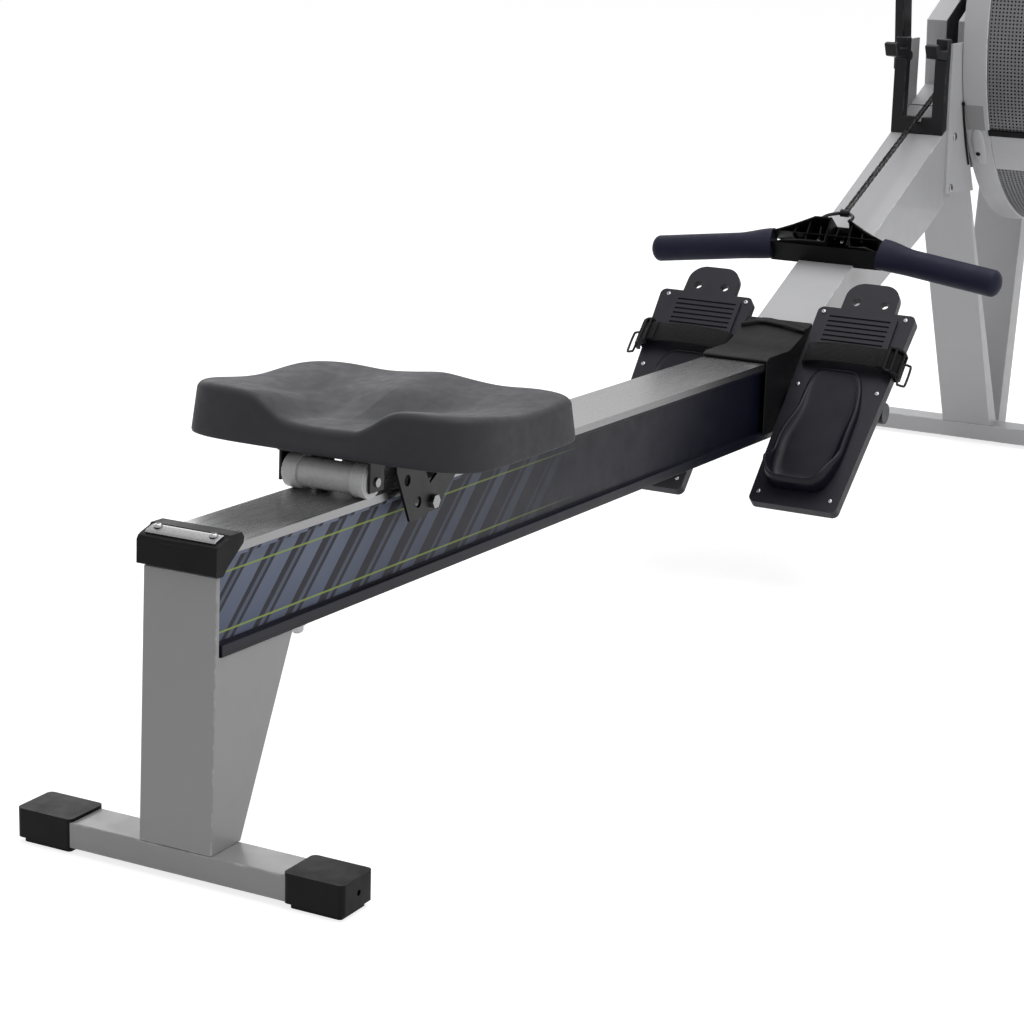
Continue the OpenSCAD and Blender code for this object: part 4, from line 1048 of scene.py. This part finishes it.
for name, side in SIDES.items():
    rings = [grip_section(GRIP_FROM, radius, GRIP_FLARE, side) for radius in (13.4, 14.8)]
    for step in range(25):
        away = GRIP_FROM + 1.0 + step * (GRIP_END - GRIP_ROUND - 1 - GRIP_FROM) / 24
        flare = GRIP_FLARE * eased((112 - away) / 42)
        radius = GRIP_RADIUS - 0.9 * eased((118 - away) / 60)
        rings.append(grip_section(away, radius, flare, side))
    for step in range(1, 9):
        turn = math.radians(step * 90 / 9)
        away = GRIP_END - GRIP_ROUND + GRIP_ROUND * math.sin(turn)
        rings.append(grip_section(away, GRIP_RADIUS * math.cos(turn), 0.0, side))
    grip = lofted("grip_" + name, rings, "handle", "grip_rubber", HANDLE)
    print(grip.name, "faces", len(grip.data.polygons))
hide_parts("handle_grips")

# %% [markdown]
# ## The handle's middle block
# The block is an open moulding: a bowed bar faces the rower, a second wall runs ahead of it, and thin
# ribs between them carry the pull. The outline is one polygon, the pocket a smaller one inside it. The
# rear wall leans, so the upper outline lies a little further forward than the lower one.

# %% Middle block
BLOCK_LOW = [(-15, 70), (-12.5, 50), (-8.7, 32), (-8.5, 0)]
BLOCK_TOP = [(-2.5, 70), (0.5, 50), (2.2, 32), (3.4, 0)]
BLOCK_FRONT = [(37, 0), (37, 21), (30.5, 33), (24, 45), (18.5, 57), (13, 70)]
BLOCK_HALF = 11.0
BLOCK_FLOOR = -7.5
BLOCK_WALLS = (2.6, 3.4)
BLOCK_BEVEL = 0.9
BLOCK_CENTRE = Vector((12, 0))


def both_sides(rear, front):
    """A closed outline from the half with y above zero."""
    half = rear + front
    return half + [(x, -y) for x, y in reversed(half) if y > 0]


def drawn_in(outline, inset):
    """The outline moved inwards by a wall's thickness."""
    inner = []
    count = len(outline)
    for i in range(count):
        before, here, after = (Vector(outline[(i + k) % count]) for k in (-1, 0, 1))
        first = (here - before).normalized()
        second = (after - here).normalized()
        lean = Vector((-(first + second).y, (first + second).x))
        lean = lean.normalized() if lean.length > 1e-6 else Vector((0, 0))
        if (BLOCK_CENTRE - here).dot(lean) < 0:
            lean = -lean
        inner.append(tuple(here + lean * inset))
    return inner


bm = bmesh.new()
top_outline = both_sides(BLOCK_TOP, BLOCK_FRONT)
low_outline = both_sides(BLOCK_LOW, BLOCK_FRONT)
pocket, pocket_low = (drawn_in(top_outline, wall) for wall in BLOCK_WALLS)
levels = [(low_outline, -BLOCK_HALF), (top_outline, BLOCK_HALF), (pocket, BLOCK_HALF),
          (pocket_low, BLOCK_FLOOR)]
rings = [[bm.verts.new((x, y, z)) for x, y in outline] for outline, z in levels]
close_rings(bm, rings)
rims = [e for e in bm.edges if e.calc_face_angle(0) > math.radians(50)]
bmesh.ops.recalc_face_normals(bm, faces=bm.faces)
bmesh.ops.bevel(bm, geom=rims, offset=BLOCK_BEVEL, segments=2, profile=0.5, affect="EDGES",
                clamp_overlap=True)
block = weigh_normals(hold("handle_block", bm, "handle", "black_plastic", HANDLE, node="handle_core"))
print("block faces", len(block.data.polygons))


# %% Ribs and bolts in the block
def rib_tree():
    tree, put = new_tree("fanned_ribs", {"Count": "Int", "Spread": "Float", "Fan": "Float",
                                         "Long": "Float", "Thick": "Float", "Tall": "Float"})
    rib = grow(tree, "GeometryNodeMeshCube", {
        "Size": vector(tree, put["Long"], put["Thick"], put["Tall"])}).outputs["Mesh"]
    steps = maths(tree, "SUBTRACT", put["Count"], 1.0)
    reach = times(tree, put["Spread"], 2.0)
    gap = maths(tree, "DIVIDE", reach, steps)
    start = vector(tree, 0.0, times(tree, put["Spread"], -1.0))
    line = grow(tree, "GeometryNodeMeshLine", {
        "Count": put["Count"], "Start Location": start, "Offset": vector(tree, 0.0, gap)},
        mode="OFFSET").outputs[0]
    here = grow(tree, "GeometryNodeInputPosition").outputs[0]
    away = axes_of(tree, here)[1]
    share = maths(tree, "DIVIDE", away, put["Spread"])
    turn = times(tree, share, times(tree, put["Fan"], -1.0))
    shrink = maths(tree, "SUBTRACT", 1.0, times(tree, maths(tree, "ABSOLUTE", share), 0.42))
    fanned = spread(tree, line, rib, Rotation=vector(tree, 0.0, 0.0, turn),
                    Scale=vector(tree, shrink, 1.0, 1.0))
    return end_tree(tree, put, fanned)


RIBS = rib_tree()
RIBS_AT = (17.5, 26.5, 0.3)
BOLT_AHEAD = 9.5
BLOCK_BOLTS = [(0, 11, 0), (0, -18, 0)]
BOLT_HEAD = {"Head Radius": 3.0, "Head Height": 12.0, "Sides": 6}
RIB_SIZES = {"Count": 3, "Spread": 16.0, "Fan": 0.12, "Long": 27.5, "Thick": 1.6, "Tall": 15.6}
for name, side in SIDES.items():
    place = HANDLE @ Matrix.Translation((RIBS_AT[0], side * RIBS_AT[1], RIBS_AT[2]))
    grown("block_ribs_" + name, RIBS, RIB_SIZES, "handle", "black_plastic", place)
bolt_place = HANDLE @ Matrix.Translation((BOLT_AHEAD, 0, BLOCK_FLOOR))
grown("block_bolts", SCREW_HEADS, BOLT_HEAD, "handle", "screw_steel", bolt_place, BLOCK_BOLTS)

# %% [markdown]
# ## Bail and cable
# A bent wire bail joins the block to the chain and lets it swivel. A thin black lead, clipped to the
# right cheek from end to end, goes to the wheel's sensor. Both are wires along a smooth course.

# %% Bail, swivel and sensor lead
BAIL_WIRE, SWIVEL_RADIUS, SWIVEL_PIN = 2.1, 4.6, 2.0
LEAD_WIRE, LEAD_PLUG, PLUG_OUT = 1.4, 2.5, 41.0
bm = bmesh.new()
half_loop = [(-29.6, 17.6, 7.0), (-22, 17.8, 5.2), (-13, 15.6, 3.1), (-5.5, 10.4, 1.3), (-1.2, 4.4, 0.2)]
loop = half_loop + [(x, -y, z) for x, y, z in reversed(half_loop)]
wire(bm, smooth_course(loop, 5), BAIL_WIRE, 12)
wire(bm, [Vector((0, y, 0)) for y in (-5.0, -4.4, 4.4, 5.0)], SWIVEL_RADIUS, 20)
wire(bm, [Vector((0, y, 0)) for y in (-5.6, 5.6)], SWIVEL_PIN, 12)
hold("chain_bail", bm, "handle", "black_steel", CHAIN, SHARP, "chain_swivel")

AXLE = Vector((1910, 0, 584.997))
CAGE_RADIUS = 270.0
LEAD_Y = -39.2
LEAD = [(20.8, 2.8), (23.2, 3.4), (25.7, 4.2), (30.5, 6.1), (34.8, 8.3), (39.1, 10.8)]


def on_cage(degrees, y, lift):
    """A point at an angle under the axle's level, a place across and a height over the drum."""
    angle = math.radians(degrees)
    reach = CAGE_RADIUS + lift
    return (AXLE.x - reach * math.cos(angle), y, AXLE.z - reach * math.sin(angle))


lead = [on_cage(degrees, LEAD_Y, lift) for degrees, lift in LEAD]
bm = bmesh.new()
wire(bm, smooth_course(lead, 6), LEAD_WIRE, 10)
x, y, z = lead[0]
wire(bm, [Vector((x, -out, z)) for out in (PLUG_OUT, CHEEK_OUT)], LEAD_PLUG, 16)
cable = hold("sensor_lead", bm, "frame", "black_plastic", FRONT, SHARP, "sensor_cable")
print("lead's faces", len(cable.data.polygons))

# %% [markdown]
# ## Straps, stitches and buckles
# Each foot strap is one piece of webbing that comes through a slot, lies low over the foot pad and
# doubles back through a ladder buckle at the plate's outer edge. Cloth simulation would lose such a flat
# band, so it is a ribbon along a course, with round edges. Its UV map runs in metres along and across it.

# %% Straps
STRAP_FROM = 183.0
STRAP_WIDE = 26.0
STRAP_THICK = 2.0
STRAP_LINE = [(17, -13.1), (12, -13.1), (7.8, -12.9), (6.2, -11.5), (6.1, -6), (6.1, 0), (6.5, 4.8),
              (10.3, 8.5), (22, 11.4), (42, 13.3), (61, 13.9), (82, 13.3), (100.6, 10.9), (110.6, 7.1),
              (115.2, 2.6), (116, -2), (116, -8), (115.8, -11.5), (114, -13), (108, -13.1), (103, -13.1)]
STRAP_END = [(96.5, 13.9), (101.2, 13.1), (107, 10.9), (112.6, 8.3), (117.0, 4.2), (118.4, -1), (118.3, -5.5)]


def ribbon(bm, line, low, high, thick):
    """A band with round edges along a course in the plate's v and w; low and high are its edges in u."""
    web = bm.loops.layers.uv.new("weave")
    course = smooth_course([(v, w, 0) for v, w in line], 5)
    middle, half = (low + high) / 2, (high - low) / 2
    shape = [(half - thick / 2 + thick / 2 * math.cos(a), thick / 2 * math.sin(a))
             for a in (math.radians(d) for d in (-90, -45, 0, 45, 90))]
    shape += [(-x, y) for x, y in reversed(shape)]
    rings, run, place = [], 0.0, {}
    for i, point in enumerate(course):
        before, after = course[max(i - 1, 0)], course[min(i + 1, len(course) - 1)]
        along = (after - before).normalized()
        out = Vector((-along.y, along.x))
        run += (point - before).length if i else 0.0
        ring = []
        for x, y in shape:
            vert = bm.verts.new((middle + x, point.x + y * out.x, point.y + y * out.y))
            place[vert] = (run * MILLIMETRE, x * MILLIMETRE)
            ring.append(vert)
        rings.append(ring)
    close_rings(bm, rings)
    for face in bm.faces:
        for loop in face.loops:
            loop[web].uv = place[loop.vert]


STRAP_CRISP = math.radians(60)
for side in SIDES:
    for name, line, inset, node in (("strap_", STRAP_LINE, 0.0, "foot_strap_" + side),
                                    ("strap_end_", STRAP_END, 0.6, None)):
        bm = bmesh.new()
        thick = STRAP_THICK - inset / 3
        ribbon(bm, line, STRAP_FROM + inset, STRAP_FROM + STRAP_WIDE - inset, thick)
        strap = hold(name + side, bm, "frame", "webbing", PLATE[side], STRAP_CRISP, node)
        print(strap.name, len(strap.data.polygons), "faces")

# %% Stitches
def stitch_tree():
    tree, put = new_tree("stitches", {"Length": "Float", "Radius": "Float", "Turn": "Float"})
    thread = tube(tree, 6, put["Radius"], put["Length"])["Mesh"]
    lying = placed(tree, thread, turn=(0, math.pi / 2, 0))
    turned = placed(tree, lying, turn=vector(tree, 0.0, 0.0, put["Turn"]))
    return end_tree(tree, put, spread(tree, put["Geometry"], turned))


STITCHES = stitch_tree()


def strap_top(v):
    """Height of the strap's upper face over the plate, between its two shoulders."""
    return read_off([point for point in STRAP_LINE if point[1] > 7], v) + STRAP_THICK / 2 + 0.12


for side in SIDES:
    across = [(STRAP_FROM + 3 + 2.5 * i, v, strap_top(v)) for v in (19, 36) for i in range(9)]
    along = [(u, 20.5 + 2.3 * i, strap_top(20.5 + 2.3 * i))
             for u in (STRAP_FROM + 2.6, STRAP_FROM + STRAP_WIDE - 2.6) for i in range(7)]
    for name, turn, points in (("across_", 0.0, across), ("along_", math.pi / 2, along)):
        grown("stitches_" + name + side, STITCHES, {"Length": 1.7, "Radius": 0.22, "Turn": turn}, "frame",
              "webbing", PLATE[side], points)


# %% Buckles
def rail_plate(bm, outline, low, high):
    """A flat outline in v and w, made solid between two places along u."""
    rings = [[bm.verts.new((u, v, w)) for v, w in outline] for u in (low, high)]
    close_rings(bm, rings)


BUCKLE_RAIL = [(103, 8.6), (105.5, 15.2), (112.5, 13.6), (119.4, 8.2), (122, 1.5), (122, -6), (117.4, -6.4),
               (117.2, 0.5), (111.5, 5.9)]
BUCKLE_BARS = [(106.6, 14.4, 1.5), (113.4, 12.2, 1.7), (120.4, 3.4, 1.5), (120.6, -4.6, 1.5)]
BUCKLE_THICK, BUCKLE_GAP = 3.2, 0.4
LOOP_FROM, LOOP_TO, LOOP_WIRE = 172.0, 199.0, 1.4
for side in SIDES:
    bm = bmesh.new()
    for low in (STRAP_FROM - BUCKLE_THICK - BUCKLE_GAP, STRAP_FROM + STRAP_WIDE + BUCKLE_GAP):
        rail_plate(bm, BUCKLE_RAIL, low, low + BUCKLE_THICK)
    bmesh.ops.recalc_face_normals(bm, faces=bm.faces)
    rounded_edges(bm, 0.6)
    for v, w, radius in BUCKLE_BARS:
        wire(bm, [Vector((u, v, w)) for u in (STRAP_FROM - 2, STRAP_FROM + STRAP_WIDE + 2)], radius, 12)
    buckle = hold("buckle_" + side, bm, "frame", "black_plastic", PLATE[side], SHARP, "strap_buckle_" + side)
    bm = bmesh.new()
    loop = []
    for u, v in ((LOOP_FROM + 2, 121.5), (LOOP_FROM, 124), (LOOP_FROM, 127.5), (LOOP_FROM + 2.5, 130),
                 (LOOP_TO - 2.5, 130), (LOOP_TO, 127.5), (LOOP_TO, 124), (LOOP_TO - 2, 121.5)):
        loop.append((u, v, 1.0 - 0.35 * (v - 121)))
    wire(bm, smooth_course(loop, 3, loop=True), LOOP_WIRE, 10, loop=True)
    hold("buckle_ring_" + side, bm, "frame", "black_steel", PLATE[side])
    print(buckle.name, len(buckle.data.polygons), "faces")

# %% [markdown]
# ## Heel cups
# A heel cup is a thin moulded tray: flat under the foot, with a curved wall behind the heel that runs
# out into low rails along both sides. It could be modelled flat and bent, but one closed skin of rings is
# simpler: over the floor to the edge, up the wall, over its rim, down outside and back underneath.

# %% Heel cups
CUP_MIDDLE = (100.5, 50.0)
CUP_LONG, CUP_WIDE = 80.5, 41.0
CUP_POWER = 5.0
CUP_FLOOR = 2.7
CUP_THICK = 2.4
CUP_AROUND = 144
CUP_FILLET = 7.0
CUP_FLAT, CUP_WALL_IN = 12, 4
HEEL_RISE, EAR_RISE, RAIL_RISE = 15.5, 9, 5.5
CUP_WALL = [(3.4 + CUP_THICK, 0.9), (3.2 + CUP_THICK * 0.75, 0.99), (3.0 + CUP_THICK * 0.4, 1.0), (2.9, 0.97),
            (1.6, 0.5)]
CUP_UNDER = [(0.4, 2.2), (0.9, 0.4), (12, 0.25)]


def cup_reach(angle, inset):
    a = (abs(math.cos(angle)) / (CUP_LONG - inset)) ** CUP_POWER
    b = (abs(math.sin(angle)) / (CUP_WIDE - inset)) ** CUP_POWER
    return (a + b) ** (-1 / CUP_POWER)


def cup_rim(u, v):
    """Height of the cup's rim over the plate: a heel wall, a pointed inner ear and low rails."""
    inner = eased((34 - v) / 18)
    heel = HEEL_RISE * eased((72 - u) / 44) * (1 - 0.45 * inner * bell(u, 62, 11))
    ear = EAR_RISE * bell(u, 39, 9) * inner
    rails = RAIL_RISE * eased((176 - u) / 90)
    return CUP_FLOOR + 0.3 + heel + ear + rails


def cup_side(u, side):
    """Where the cup's inner or outer edge lies across the plate."""
    if side < 0:
        return 7.8 + 10.8 * eased((u - 80) / 54)
    return 88.5 + 3.2 * eased((u - 30) / 50) - 8 * eased((u - 118) / 66)


def cup_ring(bm, inset, share, height):
    """A ring inside the outline; height is a number or a share of the rim by a function."""
    ring = []
    for angle in turns(CUP_AROUND):
        reach = cup_reach(angle, inset) * share
        u, v = CUP_MIDDLE[0] + reach * math.cos(angle), CUP_MIDDLE[1] + reach * math.sin(angle)
        edge = cup_reach(angle, 0)
        rim = cup_rim(CUP_MIDDLE[0] + edge * math.cos(angle), CUP_MIDDLE[1] + edge * math.sin(angle))
        side = (v - CUP_MIDDLE[1]) / CUP_WIDE
        low, high = cup_side(u, -1), cup_side(u, 1)
        v = (low + high) / 2 + side * (high - low) / 2
        ring.append(bm.verts.new((u, v, height(rim))))
    return ring


def cup_skin(bm):
    """The tray's closed skin, from the middle of its floor round to the middle underneath."""
    def inner(part):
        return lambda rim: CUP_FLOOR + (rim - CUP_FLOOR) * part

    def fillet(turn):
        return lambda rim: CUP_FLOOR + min(CUP_FILLET, 0.8 * (rim - CUP_FLOOR)) * (1 - math.cos(turn))

    rings = [cup_ring(bm, CUP_FLAT, share, lambda rim: CUP_FLOOR) for share in (0.3, 0.6, 0.85, 1.0)]
    for step in range(1, 6):
        turn = math.radians(18 * step)
        rings.append(cup_ring(bm, CUP_WALL_IN + CUP_THICK + CUP_FILLET * (1 - math.sin(turn)), 1.0,
                              fillet(turn)))
    for inset, part in CUP_WALL:
        rings.append(cup_ring(bm, inset, 1.0, inner(part)))
    for inset, height in CUP_UNDER:
        rings.append(cup_ring(bm, inset, 1.0, lambda rim, level=height: level))
    close_rings(bm, rings, caps=False)
    fan(bm, rings[0], (*CUP_MIDDLE, CUP_FLOOR))
    fan(bm, rings[-1], (*CUP_MIDDLE, CUP_UNDER[-1][1]))


for side in SIDES:
    bm = bmesh.new()
    cup_skin(bm)
    cup = hold("heel_tray_" + side, bm, "cup_" + side, "cup_plastic", PLATE[side], node="heel_cup_" + side)
    print(cup.name, len(cup.data.polygons), "faces")

# %% [markdown]
# ## Trim at the rail's end
# A bright strip lies on the slope of the end cap, held by two screws. Two bolts with washers hold the
# rail down on its leg. The strip is one outline pulled along Y; screws and bolts come from their tree.

# %% Trim strip, screws and bolts
RAIL_TOP = 275.0
STRIP = [(2, 2.6), (14, 6.2), (14, 7.8), (11, 7.5), (3.2, 5.2), (1.4, 3.8)]
STRIP_HALF = 33.0
bm = bmesh.new()
rings = [[bm.verts.new((x, y, RAIL_TOP + z)) for x, z in STRIP] for y in (-STRIP_HALF, STRIP_HALF)]
close_rings(bm, rings)
bmesh.ops.recalc_face_normals(bm, faces=bm.faces)
rounded_edges(bm, 0.45)
weigh_normals(hold("end_strip", bm, "frame", "bright_steel", RAIL, node="rail_trim"))
STRIP_SCREWS = [(9.6, y, RAIL_TOP + 6.9) for y in (-26, 26)]
grown("strip_screws", SCREW_HEADS, {"Head Radius": 3.5, "Head Height": 2.4, "Sides": 24}, "frame",
      "screw_steel", RAIL, STRIP_SCREWS)
BOLT_X, BOLT_Y, RAIL_LOW = 126.0, 28.0, 187.0
under = RAIL @ Matrix.Rotation(math.pi, 4, "X")
for name, radius, height, sides, drop in (("bolt_washers", 7.0, 1.9, 28, 0.0),
                                          ("bolt_heads", 5.4, 6.0, 6, 1.9)):
    grown(name, SCREW_HEADS, {"Head Radius": radius, "Head Height": height, "Sides": sides}, "frame",
          "screw_steel", under, [(BOLT_X, y, -(RAIL_LOW - drop)) for y in (-BOLT_Y, BOLT_Y)])

# %% [markdown]
# ## The cage's screen
# Air leaves the fan through sheet steel with many small round holes. The tree lays a grid of tiles round
# a cylinder. Each tile is drawn in a little and its middle is taken out, which leaves a small hole with
# straight sides. Thickness comes from a second skin further in.

# %% Perforated screen
SCREEN_RADIUS = 267.6
SCREEN_FROM, SCREEN_TO = -165.6, -70.8
SEAM_WELD = 0.01


def screen_tree():
    tree, put = new_tree("perforated_screen", {
        "Radius": "Float", "Width": "Float", "Around": "Int", "Rows": "Int", "Hole": "Float",
        "Thick": "Float"})
    round_trip = times(tree, put["Radius"], 2 * math.pi)
    grid = grow(tree, "GeometryNodeMeshGrid", {
        "Size X": round_trip, "Size Y": put["Width"], "Vertices X": put["Around"],
        "Vertices Y": put["Rows"]}).outputs["Mesh"]
    holes = grow(tree, "GeometryNodeExtrudeMesh", {
        "Mesh": grid, "Offset Scale": 0.0, "Individual": True}, mode="FACES")
    shrunk = grow(tree, "GeometryNodeScaleElements", {
        "Geometry": holes.outputs["Mesh"], "Selection": holes.outputs["Top"],
        "Scale": put["Hole"]}).outputs[0]
    open_sheet = grow(tree, "GeometryNodeDeleteGeometry", {
        "Geometry": shrunk, "Selection": holes.outputs["Top"]}, domain="FACE").outputs[0]
    place = grow(tree, "GeometryNodeInputPosition").outputs[0]
    axes = axes_of(tree, place)
    turn = maths(tree, "DIVIDE", axes[0], put["Radius"])
    rolled = vector(tree, times(tree, maths(tree, "SINE", turn), put["Radius"]), axes[1],
                    times(tree, maths(tree, "COSINE", turn), put["Radius"]))
    sheet = grow(tree, "GeometryNodeSetPosition", {"Geometry": open_sheet, "Position": rolled}).outputs[0]
    closed = grow(tree, "GeometryNodeMergeByDistance", {"Geometry": sheet, "Distance": SEAM_WELD}).outputs[0]
    wall = grow(tree, "GeometryNodeExtrudeMesh", {
        "Mesh": closed, "Offset Scale": times(tree, put["Thick"], -1.0),
        "Individual": False}, mode="FACES").outputs["Mesh"]
    skin = grow(tree, "GeometryNodeFlipFaces", {"Mesh": closed}).outputs[0]
    return end_tree(tree, put, joined(tree, wall, skin))


SCREEN = screen_tree()
AXLE_PLACE = FRONT @ Matrix.Translation((AXLE.x, (SCREEN_FROM + SCREEN_TO) / 2, AXLE.z))
SCREEN_SIZES = {"Radius": SCREEN_RADIUS, "Width": SCREEN_TO - SCREEN_FROM, "Around": 361, "Rows": 21,
                "Hole": 0.48, "Thick": 1.4}
grown("air_screen", SCREEN, SCREEN_SIZES, "frame", "screen_metal", AXLE_PLACE, node="cage_screen")

# %% [markdown]
# ## Fittings on the cage
# Where the band meets the right rim the moulding has a sunk panel, drawn as a thin flush sheet of
# darker paint as painted shade, and a rounded boss with a hole, drawn as a black disc in painted shade.
# A black strip above the band is a painted shadow for the gap under the screen. All follow the drum's
# curve, so their points come from the same helper as the lead's.

# %% Panel and hole in painted shade, boss and painted shadow strip
def cage_block(name, angles, sides, lifts, slot):
    """A curved block between two angles, two places across and two heights over the drum."""
    corners = [(sides[0], lifts[0]), (sides[0], lifts[1]), (sides[1], lifts[1]), (sides[1], lifts[0])]
    rings = [[on_cage(degrees, *corner) for corner in corners] for degrees in np.linspace(*angles, 12)]
    lofted(name, rings, "frame", slot, FRONT, SHARP)


# The panel: a thin sheet of darker paint on the drum, a painted shade for its sunk place.
cage_block("panel_painted_shade", (21.4, 28.9), (-64.5, -40.5), (-0.6, 0.3), "mid_paint")
# A black strip along the band's upper edge: a painted shadow for the gap under the screen.
cage_block("painted_shadow_strip", (28.7, 30.4), (-165.0, -68.5), (-1.5, 1.0), "black_plastic")
HOLE_AT = (36.6, -51.5)
HOLE_RADIUS = 3.1
BOSS_AT = (34.8, -53.5)
BOSS_HALF = (6.2, 9.0)
BOSS_RISE = 3.4
BOSS_STEPS = 7
rings = []
for step in range(BOSS_STEPS):
    turn = math.radians(90 * step / BOSS_STEPS)
    ring = []
    for angle in turns(32):
        wide = (abs(math.cos(angle)) ** 3 + abs(math.sin(angle)) ** 3) ** (-1 / 3)
        share = wide * math.cos(turn) ** 0.6
        ring.append(on_cage(BOSS_AT[0] + BOSS_HALF[0] * share * math.cos(angle),
                            BOSS_AT[1] + BOSS_HALF[1] * share * math.sin(angle),
                            BOSS_RISE * math.sin(turn) - 0.2))
    rings.append(ring)
boss = lofted("cage_boss", rings, "frame", "cage_plastic", FRONT)
# The hole is a short black disc on the boss: a painted shade.
bm = bmesh.new()
wire(bm, [Vector(on_cage(*HOLE_AT, lift)) for lift in (1.0, 3.6)], HOLE_RADIUS, 20)
hold("hole_painted_shade", bm, "frame", "black_plastic", FRONT, SHARP)
print("boss faces", len(boss.data.polygons))
